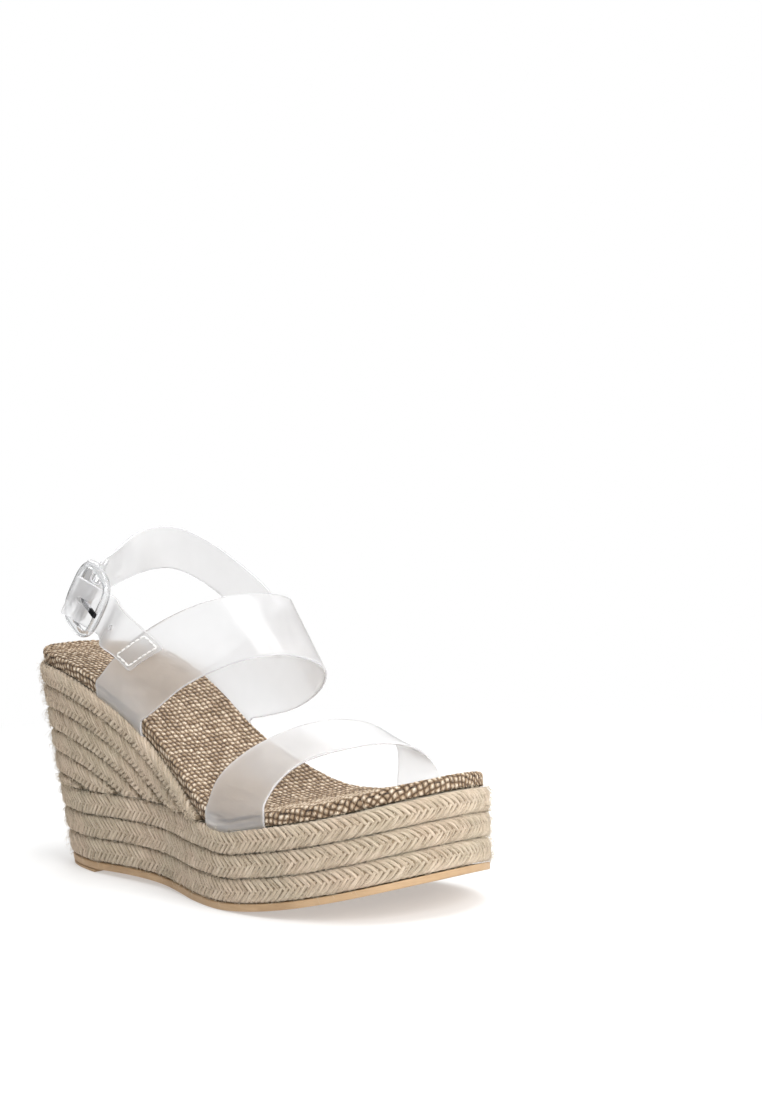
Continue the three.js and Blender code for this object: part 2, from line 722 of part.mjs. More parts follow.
const BOX_STITCH = [[1.8, 0.1], [10.5, 0.1], [10.5, 0.9], [1.8, 0.9]];
place('box_stitch_lateral', threadLoop(FRONT_GRID, BOX_STITCH), whiteThread());
place('box_stitch_medial', threadLoop(REAR_GRID.toReversed().map((row) => row.toReversed()),
  BOX_STITCH), whiteThread());

// Two rows across the doubled end behind the buckle, made as one loop.
const foldStitchAt = gridLength(REAR_GRID, FLAP_ROWS + 20);
place('fold_stitch', threadLoop(REAR_GRID, [
  [foldStitchAt, 0.12], [foldStitchAt + 2.5, 0.12], [foldStitchAt + 2.5, 0.88],
  [foldStitchAt, 0.88]], 6), whiteThread());

// ---------------------------------------------------------------- braids
// A braid between two height lines, over a run of outline parameters.
function braid(us, low, high, loop) {
  const squareness = 2 / BRAID_SQUARENESS;
  return sweep(us.map((u) => {
    const [lo, hi] = [low(u) + HALF_GAP, high(u) - HALF_GAP];
    return range(8).map((k) => {
      const angle = (k * Math.PI) / 4;
      const [c, s] = [Math.cos(angle), Math.sin(angle)];
      const r = BRAID_OUT + BRAID_HALF_WIDTH * Math.sign(c) * Math.abs(c) ** squareness;
      const z = (lo + hi) / 2 + ((hi - lo) / 2) * Math.sign(s) * Math.abs(s) ** squareness;
      return wall(u, r, z);
    });
  }), loop);
}

const strapClearances = [clearance(TOE_GRID), clearance(INSTEP_GRID)];

const BASE_ROWS = 3;
const baseLine = (k) => (u) => mix(outsoleTop(u) + HALF_GAP, platformTop(u), k / BASE_ROWS);
for (const k of range(BASE_ROWS)) {
  const body = braid(RING, baseLine(k), baseLine(k + 1), true);
  place(`braid_base_${k + 1}`, k === BASE_ROWS - 1 ? cut(body, strapClearances) : body, jute());
}

// Lines of the wedge braids: parallel to the footbed ramp, one braid apart.
function fanLine(k) {
  return (u) => {
    const x = xAt(u);
    const step = 4;
    const slope = (rampTop(x + step) - rampTop(x - step)) / (2 * step);
    const height = FAN_BRAID * (1 - FAN_TAPER * clamp01(x / BALL_END));
    return top(u) - k * height * Math.hypot(1, slope);
  };
}

// Run of outline parameters over which a wedge braid is thick enough, from the outer
// side round the heel to the inner side. The ring's own steps are kept in between.
function fanRun(k) {
  const tall = (u) => fanLine(k)(u) - platformTop(u) > FAN_MIN_HEIGHT;
  const end = (sign) => {
    let u = 0;
    while (tall(sign * u) && u < 0.4) u += 0.0005;
    return u;
  };
  const [outer, inner] = [end(1), end(-1)];
  const inside = RING.map((u) => (u < 0.5 ? u : u - 1))
    .filter((u) => u < outer - 0.002 && u > -inner + 0.002)
    .sort((a, b) => a - b);
  return [-inner, ...inside, outer];
}

for (const k of range(FAN_COUNT)) {
  const low = (u) => Math.max(fanLine(k + 1)(u), platformTop(u));
  const body = braid(fanRun(k), low, fanLine(k), false);
  place(`braid_wedge_${k + 1}`, k === 0 ? cut(body, strapClearances) : body, jute());
}

// ---------------------------------------------------------------- core and footbed
const CORE_INSET = BRAID_HALF_WIDTH - BRAID_OUT + GAP + 0.05;
const BOARD_INSET = RIM_INSET + COVER + GAP + 0.1;

// A strip of the footbed between two outline stations, centred across the sole.
function shankGeometry(grow) {
  const [from, to] = SHANK_SPAN.map((x, i) => uAtTop(x + (2 * i - 1) * grow, -1));
  const stations = [from, ...RING.filter((u) => u > from && u < to), to];
  return sweep(stations.map((u) => {
    const width = wall(u, 0, top(u)).distanceTo(wall(opposite(u), 0, top(opposite(u))));
    const [low, high] = [-2 * GAP - SHANK - grow, -2 * GAP + grow];
    const half = SHANK_WIDTH / 2 + grow;
    const at = (side, dz) => rampPoint(u, 0, width / 2 + side * half, dz);
    return [at(-1, low), at(1, low), at(1, high), at(-1, high)];
  }), false);
}
place('shank', shankGeometry(0), steel());

place('wedge_core', cut(stack([
  ring(-CORE_INSET, (u) => outsoleTop(u) + GAP),
  ring(-CORE_INSET, (u) => topAt(outline(u, BOARD_INSET - CORE_INSET).x) - GAP),
]), [...strapClearances, shankGeometry(GAP)]), foam());

place('insole_board', stack([
  ring(-BOARD_INSET, top),
  ring(-BOARD_INSET, (u) => top(u) + BOARD),
]), finish(0xb9a27c, 0.9));

place('footbed_foam', stack([
  ring(-BOARD_INSET, (u) => top(u) + BOARD + GAP),
  ring(-BOARD_INSET, (u) => top(u) + BOARD + GAP + FOAM),
]), foam());

const coverInner = RIM_INSET + COVER;
place('footbed_cover', stack([
  ring(-coverInner, (u) => top(u) + RIM - COVER),
  ring(-coverInner, (u) => top(u) + GAP + 0.05),
  ring(-RIM_INSET, (u) => top(u) + GAP + 0.05),
  ring(-RIM_INSET, (u) => top(u) + RIM - 1),
  ring(-RIM_INSET - 1, (u) => top(u) + RIM),
]), wovenJute());

// ---------------------------------------------------------------- origin
// The part stands on the floor with its origin under the middle of its box.
sandal.updateMatrixWorld(true);
const box = new THREE.Box3().setFromObject(sandal, true);
const middle = box.getCenter(vec());
sandal.position.set(-middle.x, -middle.y, -box.min.z);
sandal.updateMatrixWorld(true);

export default sandal;
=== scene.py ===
"""Wedge espadrille sandal for the right foot: the looks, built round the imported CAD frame.

Shapes are worked out in millimetres from the heel, with +X to the toe, +Y to the inner
side of the foot and +Z up, and are moved into the frame by the buckle's joint.
"""

import json
import math

import bmesh
import bpy
import numpy as np
from mathutils import Matrix, Vector


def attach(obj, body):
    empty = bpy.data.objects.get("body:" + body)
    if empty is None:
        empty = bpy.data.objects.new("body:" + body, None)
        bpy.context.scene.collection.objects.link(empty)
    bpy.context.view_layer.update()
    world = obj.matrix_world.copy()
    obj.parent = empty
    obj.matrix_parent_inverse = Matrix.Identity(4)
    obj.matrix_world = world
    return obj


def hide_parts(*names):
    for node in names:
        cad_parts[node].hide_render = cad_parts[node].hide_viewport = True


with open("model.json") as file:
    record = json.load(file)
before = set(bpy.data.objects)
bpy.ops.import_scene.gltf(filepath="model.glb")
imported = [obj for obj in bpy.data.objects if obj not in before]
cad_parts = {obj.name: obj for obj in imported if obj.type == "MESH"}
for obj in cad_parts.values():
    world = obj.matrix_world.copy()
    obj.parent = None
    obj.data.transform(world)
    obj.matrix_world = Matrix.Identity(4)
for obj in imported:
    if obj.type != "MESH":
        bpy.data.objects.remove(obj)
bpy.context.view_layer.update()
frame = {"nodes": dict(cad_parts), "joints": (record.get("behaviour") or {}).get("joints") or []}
rng = np.random.default_rng(7)

# ---- driving dimensions
SOLE_LENGTH = 226.0
HEEL_HEIGHT = 87.0
HEEL_LEAN = 19.0
HEEL_FLARE = 0.11
LEAN_END = 92.0
HEEL_PIECE = 1.4
HEEL_PIECE_END = 38.0
GAP = 0.3
OUTSOLE = 3.0
OUTSOLE_OUT = 0.6
ARCH_RISE = 1.3
BALL_START = 118.0
BALL_END = 138.0
TOE_SPRING = 15.4
PLATFORM = 32.9
BRAID_HALF_WIDTH = 2.7
BRAID_OUT = -1.5
BRAID_SQUARENESS = 2.6
BASE_ROWS = 3
FAN_BRAID = 9.7
FAN_TAPER = 0.33
FAN_COUNT = 6
FAN_MIN_HEIGHT = 2.4
RIM = 5.8
RIM_INSET = 1.25
VINYL = 1.1
STRAP_RIM_INSET = 0.25
TAIL = 14.0
BEND_START = 1.85
ROOT_FADE = 14.0
ANKLE_WIDTH = 19.6
BAR = np.array([40.4, -25.5, 116.2])          # centre of the buckle's bar
FRAME_HALF = (12.4, 15.9)                     # buckle frame, half length and half height
FRAME_RAIL = 3.6
FRAME_HALF_THICK = 1.6
BAR_RADIUS = 1.2
PRONG_EYE = 1.5
PRONG_REACH = 12.0
THREAD = 0.35

ORIGIN = np.array(frame["joints"][0]["pos_m"]) * 1000 - BAR


def smooth(v):
    v = np.clip(v, 0, 1)
    return v * v * (3 - 2 * v)


def unit(v):
    v = np.asarray(v, float)
    return v / np.linalg.norm(v, axis=-1, keepdims=True)


def squared(v, squareness):
    """A cosine or sine bent so that a circle drawn with it becomes a rounded box."""
    return np.sign(v) * np.abs(v) ** (2 / squareness)


# ---- curves
def catmull(points, t, closed=False):
    """Centripetal Catmull-Rom curve through the points, at parameters t from 0 to 1.
    The points may be rows of points, which all get their own curve."""
    pts = np.asarray(points, float)
    n = len(pts)
    t = np.asarray(t, float)
    if closed:
        at = (t % 1.0) * n
        i = np.floor(at).astype(int)
        p0, p1, p2, p3 = (pts[(i + k) % n] for k in (-1, 0, 1, 2))
    else:
        at = np.clip(t, 0, 1) * (n - 1)
        i = np.minimum(np.floor(at).astype(int), n - 2)
        longer = np.concatenate([[2 * pts[0] - pts[1]], pts, [2 * pts[-1] - pts[-2]]])
        p0, p1, p2, p3 = (longer[i + k] for k in range(4))
    w = (at - i).reshape(at.shape + (1,) * (pts.ndim - 1))

    def knot(a, b):
        return np.maximum(np.sum((b - a) ** 2, -1, keepdims=True) ** 0.25, 1e-4)

    d0, d1, d2 = knot(p0, p1), knot(p1, p2), knot(p2, p3)
    m1 = ((p1 - p0) / d0 - (p2 - p0) / (d0 + d1)) * d1 + (p2 - p1)
    m2 = ((p3 - p2) / d2 - (p3 - p1) / (d1 + d2)) * d1 + (p2 - p1)
    return (p1 + m1 * w + (3 * (p2 - p1) - 2 * m1 - m2) * w ** 2
            + (2 * (p1 - p2) + m1 + m2) * w ** 3)


def lengths_of(points):
    steps = np.linalg.norm(np.diff(points, axis=0), axis=-1)
    return np.concatenate([[0], np.cumsum(steps)])


def spaced(points, count):
    """count + 1 points evenly spaced along the curve through the points."""
    dense = catmull(points, np.linspace(0, 1, 2001))
    run = lengths_of(dense)
    at = np.linspace(0, run[-1], count + 1)
    return np.stack([np.interp(at, run, dense[:, k]) for k in range(3)], -1)


# ---- the sole's form
OUTLINE = np.array([
    (4.6, -2.1), (11, -14.5), (33.5, -24.5), (89.4, -30.6), (145.1, -45.9),
    (189.4, -41.6), (216, -25.8), (SOLE_LENGTH, 3), (220.3, 24.6), (203.8, 41.4),
    (169, 46.2), (95.1, 24.3), (32.7, 27.9), (9.1, 15.9)])


def outline(u, offset=0.0):
    """Points of the ground outline, moved outwards. u is 0 at the heel's back, 0.5 at
    the toe and 1 at the heel again; the outer side of the foot comes first."""
    p = catmull(OUTLINE, u, closed=True)
    along = outline_along(u)
    return p + np.stack([along[..., 1], -along[..., 0]], -1) * np.asarray(offset)[..., None]


def outline_along(u):
    u = np.asarray(u, float)
    return unit(catmull(OUTLINE, u + 1e-4, True) - catmull(OUTLINE, u - 1e-4, True))


def outwards(u):
    along = outline_along(u)
    return np.stack([along[..., 1], -along[..., 0], np.zeros_like(along[..., 0])], -1)


def x_at(u):
    return catmull(OUTLINE, u, closed=True)[..., 0]


def lean(x):
    return np.clip(1 - x / LEAN_END, 0, 1)


def sole_bottom(x):
    x = np.asarray(x, float)
    f = np.clip((x - HEEL_PIECE_END) / (BALL_START - HEEL_PIECE_END), 0, 1)
    arch = HEEL_PIECE * (1 - smooth(f)) + ARCH_RISE * np.sin(np.pi * f)
    toe = np.clip((x - BALL_END) / (SOLE_LENGTH - BALL_END), 0, None)
    return np.where(x < BALL_START, arch, TOE_SPRING * toe ** 1.7)


RAMP = catmull(
    [(-20, 86.8), (20, 84.1), (44, 77.5), (68, 67.1), (92, 52.7), (112, 42), (131, 33.5),
     (146, 31.9)] + [(x, float(sole_bottom(x)) + PLATFORM) for x in (165, 194, 234)],
    np.linspace(0, 1, 400))


def ramp_top(x):
    return np.interp(x, RAMP[:, 0], RAMP[:, 1])


def top(u):
    x = x_at(u)
    return ramp_top(x - 0.9 * HEEL_LEAN * lean(x))


def platform_top(u):
    return np.minimum(sole_bottom(x_at(u)) + PLATFORM, top(u))


def outsole_top(u):
    return sole_bottom(x_at(u)) + OUTSOLE


def wall(u, r, z):
    """Point of the sole's wall, r outside the outline, at height z."""
    p = outline(u, r)
    k = z / HEEL_HEIGHT * lean(x_at(u))
    return np.stack([p[..., 0] - HEEL_LEAN * k, p[..., 1] * (1 + HEEL_FLARE * k),
                     z + 0 * k], -1)


def rearmost_and_foremost():
    u = np.linspace(-0.05, 0.05, 4001)
    x = [wall(v, 0.0, top(v))[:, 0] for v in (u, u + 0.5)]
    return u[np.argmin(x[0])], u[np.argmax(x[1])] + 0.5


U_HEEL, U_TOE = rearmost_and_foremost()


def u_at_top(x, side):
    """Outline parameter on one side where the wall's top has that X."""
    x = np.asarray(x, float)
    low, high = np.full_like(x, U_HEEL + (side > 0)), np.full_like(x, U_TOE)
    for _ in range(30):
        middle = (low + high) / 2
        behind = wall(middle, 0.0, top(middle))[..., 0] < x
        low, high = np.where(behind, middle, low), np.where(behind, high, middle)
    return low


def opposite(u):
    x = wall(u, 0.0, top(u))[..., 0]
    return np.where(np.asarray(u) < U_TOE, u_at_top(x, 1), u_at_top(x, -1))


def ramp_point(u, r, inward, dz):
    """Point of the footbed ramp, `inward` from the wall line at offset r."""
    near = wall(u, r, top(u) + dz)
    v = opposite(u)
    far = wall(v, r, top(v) + dz)
    f = inward / np.linalg.norm(far - near, axis=-1, keepdims=True)
    return near + (far - near) * f


# ---- meshes
def make(name, points, faces, slots, body="sandal"):
    """A mesh object in the frame, from points in millimetres. faces is a list of
    (array of corner indices, material index), and slots are its materials."""
    mesh = bpy.data.meshes.new(name)
    co = ((np.asarray(points).reshape(-1, 3) + ORIGIN) / 1000).astype(np.float32)
    mesh.vertices.add(len(co))
    mesh.vertices.foreach_set("co", co.ravel())
    corners = np.concatenate([f.ravel() for f, _ in faces])
    sizes = np.concatenate([np.full(len(f), f.shape[1]) for f, _ in faces])
    index = np.concatenate([np.full(len(f), m) for f, m in faces])
    mesh.loops.add(len(corners))
    mesh.loops.foreach_set("vertex_index", corners.astype(np.int32))
    mesh.polygons.add(len(sizes))
    starts = np.concatenate([[0], np.cumsum(sizes)[:-1]])
    mesh.polygons.foreach_set("loop_start", starts.astype(np.int32))
    mesh.polygons.foreach_set("material_index", index.astype(np.int32))
    mesh.polygons.foreach_set("use_smooth", np.ones(len(sizes), bool))
    mesh.update(calc_edges=True)
    mesh.validate()
    shell = bmesh.new()
    shell.from_mesh(mesh)
    bmesh.ops.recalc_face_normals(shell, faces=shell.faces)
    shell.to_mesh(mesh)
    shell.free()
    for slot in slots:
        mesh.materials.append(slot)
    thing = bpy.data.objects.new(name, mesh)
    bpy.context.scene.collection.objects.link(thing)
    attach(thing, body)
    return thing


def paint(thing, name, values):
    """A vector for each vertex, which the materials read by name."""
    attribute = thing.data.attributes.new(name, "FLOAT_VECTOR", "POINT")
    attribute.data.foreach_set("vector", np.asarray(values, np.float32).ravel())


def grid_faces(rows, columns, start=0, loop_rows=False, loop_columns=False, flip=False):
    r = np.arange(rows if loop_rows else rows - 1)
    c = np.arange(columns if loop_columns else columns - 1)
    r, c = (g.ravel() for g in np.meshgrid(r, c, indexing="ij"))
    r2, c2 = (r + 1) % rows, (c + 1) % columns
    quads = np.stack([r * columns + c, r2 * columns + c, r2 * columns + c2,
                      r * columns + c2], -1) + start
    return quads[:, ::-1] if flip else quads


def end_caps(rings, sides):
    """Corners of the two faces that close a tube."""
    return np.stack([np.arange(sides)[::-1], (rings - 1) * sides + np.arange(sides)])


def tube_faces(count, rings, sides, start=0, slot=0):
    """Faces of `count` closed tubes, each of so many rings of so many sides."""
    one, caps = grid_faces(rings, sides, loop_columns=True), end_caps(rings, sides)
    shift = (np.arange(count) * rings * sides + start)[:, None, None]
    return [((one[None] + shift).reshape(-1, 4), slot),
            ((caps[None] + shift).reshape(-1, sides), slot)]


def tubes(centres, normals, half_width, half_height, sides):
    """Rings round many centre lines. centres and normals are (tubes, rings, 3), and
    the half sizes are (tubes, rings). Returns the points as (tubes, rings, sides, 3)."""
    along = unit(np.gradient(centres, axis=1))
    side = unit(np.cross(normals, along))
    up = np.cross(along, side)
    angle = 2 * np.pi * np.arange(sides) / sides
    return (centres[:, :, None]
            + side[:, :, None] * (half_width[..., None] * np.cos(angle))[..., None]
            + up[:, :, None] * (half_height[..., None] * np.sin(angle))[..., None])


# ---- materials
WHITE = (1, 1, 1, 1)


class Nodes:
    """A node tree with short ways to add and join its nodes."""

    def __init__(self, tree):
        self.tree = tree

    def add(self, kind, inputs=None, **settings):
        node = self.tree.nodes.new("ShaderNode" + kind)
        for key, value in settings.items():
            setattr(node, key, value)
        for key, value in (inputs or {}).items():
            self.put(node.inputs[key], value)
        return node

    def put(self, socket, value):
        if isinstance(value, bpy.types.NodeSocket):
            self.tree.links.new(value, socket)
        else:
            socket.default_value = value

    def spread(self, value, start, end, low, high, **settings):
        """The value, carried over from the first range to the second."""
        return self.add("MapRange", {
            "Value": value, "From Min": start, "From Max": end, "To Min": low,
            "To Max": high}, **settings).outputs["Result"]


class Look(Nodes):
    """A procedural material."""

    def __init__(self, name):
        self.material = bpy.data.materials.new(name)
        self.material.use_nodes = True
        super().__init__(self.material.node_tree)
        self.shader = self.tree.nodes["Principled BSDF"]
        self.output = self.tree.nodes["Material Output"]

    def surface(self, **inputs):
        for key, value in inputs.items():
            self.put(self.shader.inputs[key.replace("_", " ")], value)

    def ramp(self, value, stops):
        node = self.add("ValToRGB", {"Fac": value})
        elements = node.color_ramp.elements
        while len(elements) < len(stops):
            elements.new(0.5)
        for element, (place, colour) in zip(elements, stops):
            element.position = place
            element.color = (*colour, 1)
        return node.outputs["Color"]

    def scaled(self, vector, scale):
        node = self.add("VectorMath", operation="MULTIPLY")
        self.put(node.inputs[0], vector)
        self.put(node.inputs[1], scale)
        return node.outputs["Vector"]

    def noise(self, vector, scale=1.0, detail=3.0, rough=0.55):
        return self.add("TexNoise", {
            "Vector": vector, "Scale": scale, "Detail": detail, "Roughness": rough,
        }).outputs["Fac"]

    def math(self, operation, a, b):
        node = self.add("Math", operation=operation)
        self.put(node.inputs[0], a)
        self.put(node.inputs[1], b)
        return node.outputs[0]

    def times(self, a, b):
        return self.math("MULTIPLY", a, b)

    def weighed(self, a, share_a, b, share_b):
        return self.math("ADD", self.times(a, share_a), self.times(b, share_b))

    def tinted(self, colour, tint):
        node = self.add("Mix", data_type="RGBA", blend_type="MULTIPLY")
        for index, value in ((0, 1.0), (6, colour), (7, tint)):
            self.put(node.inputs[index], value)
        return node.outputs[2]

    def bump(self, height, distance, strength=1.0):
        return self.add("Bump", {
            "Height": height, "Distance": distance, "Strength": strength,
        }).outputs["Normal"]

    def attribute(self, name):
        return self.add("Attribute", attribute_name=name).outputs["Vector"]

    def place(self):
        """The point in millimetres, which stays with the piece when it moves."""
        return self.scaled(self.add("TexCoord").outputs["Object"], (1000, 1000, 1000))


def jute_look(name, dark, middle, light):
    """Jute yarn: long fine fibres along each strand, and strands that vary in tone."""
    look = Look(name)
    strand = look.attribute("strand")
    fibres = look.noise(look.scaled(strand, (0.35, 4.2, 9.0)), 1.0, 4.0, 0.7)
    coarse = look.noise(look.scaled(strand, (0.12, 0.8, 9.0)), 1.0, 2.0)
    patches = look.noise(look.place(), 0.05, 2.0)
    tone = look.weighed(fibres, 0.62, coarse, 0.38)
    colour = look.ramp(tone, [(0.36, dark), (0.50, middle), (0.66, light)])
    warm = look.ramp(patches, [(0.35, (0.90, 0.92, 0.88)), (0.65, (1.0, 0.985, 0.96))])
    look.surface(Base_Color=look.tinted(colour, warm), Roughness=0.88,
                 Normal=look.bump(fibres, 0.00035, 0.9))
    look.surface(Specular_IOR_Level=0.25, Sheen_Weight=0.18, Sheen_Roughness=0.6)
    return look.material


def woven_look():
    """Footbed cloth: cream painted highlight on the crowns and brown painted shade in the
    hollows, worked out from the cloth's own flat coordinates, in yarns."""
    look = Look("woven_jute_shade_and_highlight_look")
    flat = look.attribute("flat")
    cell = look.add("VectorMath", {0: flat}, operation="FLOOR").outputs["Vector"]
    part = look.add("SeparateXYZ", {0: look.add(
        "VectorMath", {0: flat}, operation="FRACTION").outputs["Vector"]})
    home = look.add("SeparateXYZ", {0: cell})
    diagonal = look.math("ADD", home.outputs["X"], home.outputs["Y"])
    over = look.math("FLOORED_MODULO", diagonal, 2.0)
    x = look.math("SUBTRACT", part.outputs["X"], 0.5)
    y = look.math("SUBTRACT", part.outputs["Y"], 0.5)
    run = look.add("Mix", {0: over, 2: x, 3: y}).outputs[0]
    cross = look.add("Mix", {0: over, 2: y, 3: x}).outputs[0]
    arch = look.math("COSINE", look.times(run, 2.9), 0.0)
    off_middle = look.math("ABSOLUTE", look.times(cross, 1.85), 0.0)
    bulge = look.math("SUBTRACT", 1.0, look.math("POWER", off_middle, 2.2))
    height = look.times(look.math("MAXIMUM", arch, 0.0), look.math("MAXIMUM", bulge, 0.0))
    chance = look.add("TexWhiteNoise", {"Vector": cell},
                      noise_dimensions="3D").outputs["Value"]
    # Fibre streaks along each yarn's twist: the fibres' own tone, and painted highlight on the
    # twisted plies.
    twist = look.math("ADD", cross, look.times(run, 0.8))
    thread = look.add("CombineXYZ", {
        0: look.times(run, 1.8), 1: look.times(twist, 5.0),
        2: look.times(chance, 30.0)}).outputs[0]
    fibres = look.noise(thread, 1.0, 4.0, 0.7)
    # The colour follows the yarn's height: painted shade in dark brown in the hollows, painted
    # highlight in cream on the crowns, with a random tone per crossing.
    tone = look.math("SUBTRACT", look.weighed(height, 0.40, fibres, 0.78), 0.12)
    tone = look.math("ADD", tone, look.times(chance, 0.16))
    colour = look.ramp(tone, [(0.30, (0.05, 0.027, 0.014)), (0.48, (0.18, 0.112, 0.062)),
                              (0.66, (0.42, 0.31, 0.205)), (0.84, (0.84, 0.73, 0.59))])
    crown = look.math("ADD", height, look.times(fibres, 0.35))
    look.surface(Base_Color=colour, Roughness=0.88,
                 Normal=look.bump(crown, 0.0009, 1.0))
    look.surface(Specular_IOR_Level=0.2, Sheen_Weight=0.1, Sheen_Roughness=0.6)
    return look.material


def rubber_look():
    """Tan crepe rubber with a fine grain and faint layers along its edge."""
    look = Look("crepe_rubber_look")
    place = look.place()
    grain = look.noise(place, 2.2, 4.0, 0.6)
    layers = look.noise(look.scaled(place, (0.05, 0.05, 2.6)), 1.0, 2.0)
    blotch = look.noise(place, 0.06, 3.0)
    tone = look.weighed(blotch, 0.7, layers, 0.3)
    colour = look.ramp(tone, [(0.30, (0.35, 0.22, 0.115)), (0.52, (0.46, 0.305, 0.17)),
                              (0.75, (0.52, 0.36, 0.215))])
    rough = look.ramp(grain, [(0.3, (0.5,) * 3), (0.7, (0.68,) * 3)])
    look.surface(Base_Color=colour, Roughness=rough,
                 Normal=look.bump(look.math("ADD", grain, layers), 0.00012, 0.5))
    return look.material


def vinyl_look(name, facing, glancing, haze, tint, rough, bend):
    """Clear vinyl: glossy, with a haze that blurs what is behind it. `facing` and
    `glancing` are the shares of light that the haze takes at each angle."""
    look = Look(name)
    place = look.place()
    angle = look.add("LayerWeight", {"Blend": 0.35}).outputs["Facing"]
    cloud = look.noise(place, 0.05, 2.0)
    body = look.math("ADD", angle, look.times(cloud, 0.25))
    share = look.spread(body, 0.10, 1.10, facing, glancing)
    waves = look.noise(place, 0.05, 1.0)
    look.surface(Base_Color=(*tint, 1), Roughness=rough, IOR=bend,
                 Transmission_Weight=haze, Alpha=share,
                 Normal=look.bump(waves, 0.003, 0.3))
    look.surface(Specular_IOR_Level=0.5, Coat_Weight=1.0, Coat_Roughness=0.09)
    return look.material


def resin_look():
    """Clear moulded resin of the buckle, thick enough to bend what is behind it."""
    look = Look("clear_resin_look")
    flow = look.noise(look.place(), 0.12, 1.0)
    look.surface(Base_Color=(0.93, 0.94, 0.95, 1), IOR=1.49, Roughness=0.05,
                 Transmission_Weight=0.86, Normal=look.bump(flow, 0.001, 0.2))
    look.surface(Coat_Weight=0.5, Coat_Roughness=0.03)
    return look.material


def metal_look(name, colour, roughness, tip=None):
    """Plated or rolled steel with fine scratches, and a tip of another colour."""
    look = Look(name)
    place = look.place()
    scratches = look.noise(look.scaled(place, (6.0, 0.6, 0.6)), 1.0, 4.0, 0.7)
    rough = look.spread(scratches, 0.3, 0.7, roughness * 0.7, roughness * 1.4)
    look.surface(Base_Color=(*colour, 1), Metallic=1.0, Roughness=rough,
                 Normal=look.bump(scratches, 0.00002, 0.4))
    if tip:
        reach = look.add("SeparateXYZ", {0: look.attribute("reach")}).outputs["X"]
        look.surface(Base_Color=look.ramp(reach, [(0.60, colour), (0.66, tip)]))
    return look.material


def thread_look():
    """Twisted white sewing thread."""
    look = Look("white_thread_look")
    strand = look.attribute("strand")
    twist = look.add("TexWave", {"Vector": look.scaled(strand, (1.0, 0.5, 0.0)),
                                 "Scale": 1.6, "Distortion": 0.4},
                     bands_direction="DIAGONAL").outputs["Fac"]
    colour = look.ramp(twist, [(0.1, (0.72, 0.71, 0.68)), (0.6, (0.93, 0.92, 0.90))])
    look.surface(Base_Color=colour, Roughness=0.55, Normal=look.bump(twist, 0.0001, 0.8))
    look.surface(Sheen_Weight=0.2)
    return look.material


def plain_look(name, dark, light, scale, roughness):
    """A mottled, slightly pitted solid, for the pieces inside the shoe."""
    look = Look(name)
    place = look.place()
    pits = look.noise(place, scale, 4.0, 0.65)
    look.surface(Base_Color=look.ramp(pits, [(0.35, dark), (0.65, light)]),
                 Roughness=roughness, Normal=look.bump(pits, 0.0002, 0.6))
    return look.material


JUTE = jute_look("jute_braid_look", (0.29, 0.215, 0.15), (0.56, 0.45, 0.345),
                 (0.78, 0.66, 0.55))
# A darker copy of the jute for the plait's core: painted shade in the gaps between the legs.
JUTE_SHADOW = jute_look("jute_core_painted_shade_look", (0.16, 0.11, 0.065), (0.27, 0.20, 0.13),
                        (0.36, 0.28, 0.19))
JUTE_FIBRE = jute_look("jute_fibre_look", (0.45, 0.36, 0.26), (0.66, 0.56, 0.43),
                       (0.82, 0.73, 0.60))
WOVEN = woven_look()
RUBBER = rubber_look()
CLEAR = vinyl_look("clear_vinyl_look", 0.42, 0.9, 0.75, (0.87, 0.865, 0.87), 0.3, 1.2)
CLEAR_EDGE = vinyl_look("vinyl_edge_look", 0.8, 0.95, 0.55, (0.82, 0.82, 0.84), 0.12, 1.45)
RESIN = resin_look()
NICKEL = metal_look("nickel_look", (0.80, 0.80, 0.82), 0.2, (0.02, 0.02, 0.022))
SPRING_STEEL = metal_look("spring_steel_look", (0.20, 0.21, 0.24), 0.4)
THREAD_WHITE = thread_look()
FOAM_LOOK = plain_look("core_foam_look", (0.62, 0.55, 0.44), (0.78, 0.72, 0.60), 1.2, 0.85)
BOARD_LOOK = plain_look("fibre_board_look", (0.33, 0.24, 0.14), (0.50, 0.38, 0.24), 0.9,
                        0.9)


# ---- plaited braids
PITCH = 2.9                    # from one chevron of a plait to the next
LEG_RINGS = 10
LEG_SIDES = 8
SLANT = 2.5                    # how far a leg trails, in half heights of the braid
WRAP = (-14.0, 140.0)          # degrees of the braid's section that a leg covers
CORE_SIDES = 14                # of the core, painted dark as shade, that shows between the legs
CORE_DEPTH = 0.55              # of that core below the braid's own outline
FUZZ_PER_MM = 5.0              # loose fibres along a braid
FIBRE_RINGS = 5
FIBRE_SIDES = 3
FIBRE_LENGTH = 6.0             # of the longest fibre
FIBRE_LIFT = 1.4               # limit of how strongly a fibre rises off the braid
FIBRE_RADIUS = 0.07
FLOOR_CLEARANCE = 0.3          # no fibre's middle line is lower than this


def braid_section(u, low, high, angle, grow):
    """Place and outward direction on a braid's rounded section, grown by `grow`."""
    lo, hi = low(u) + GAP / 2, high(u) - GAP / 2
    half = np.maximum((hi - lo) / 2 + grow * 0.3, 0.25)
    c, s = np.cos(angle), np.sin(angle)
    r = BRAID_OUT + (BRAID_HALF_WIDTH + grow) * squared(c, BRAID_SQUARENESS)
    z = (lo + hi) / 2 + half * squared(s, BRAID_SQUARENESS)
    out = outwards(u) * (c / BRAID_HALF_WIDTH)[..., None]
    out[..., 2] += s / half
    return wall(u, r, z), unit(out)


def braid_run(low, high, start, end):
    """Arc length along the middle of a braid's face against outline parameter."""
    us = np.linspace(start, end, 1600)
    face, _ = braid_section(us, low, high, np.zeros_like(us), 0.0)
    return us, lengths_of(face)


def half_height(u, low, high):
    return np.maximum((high(u) - low(u) - GAP) / 2, 0.25)


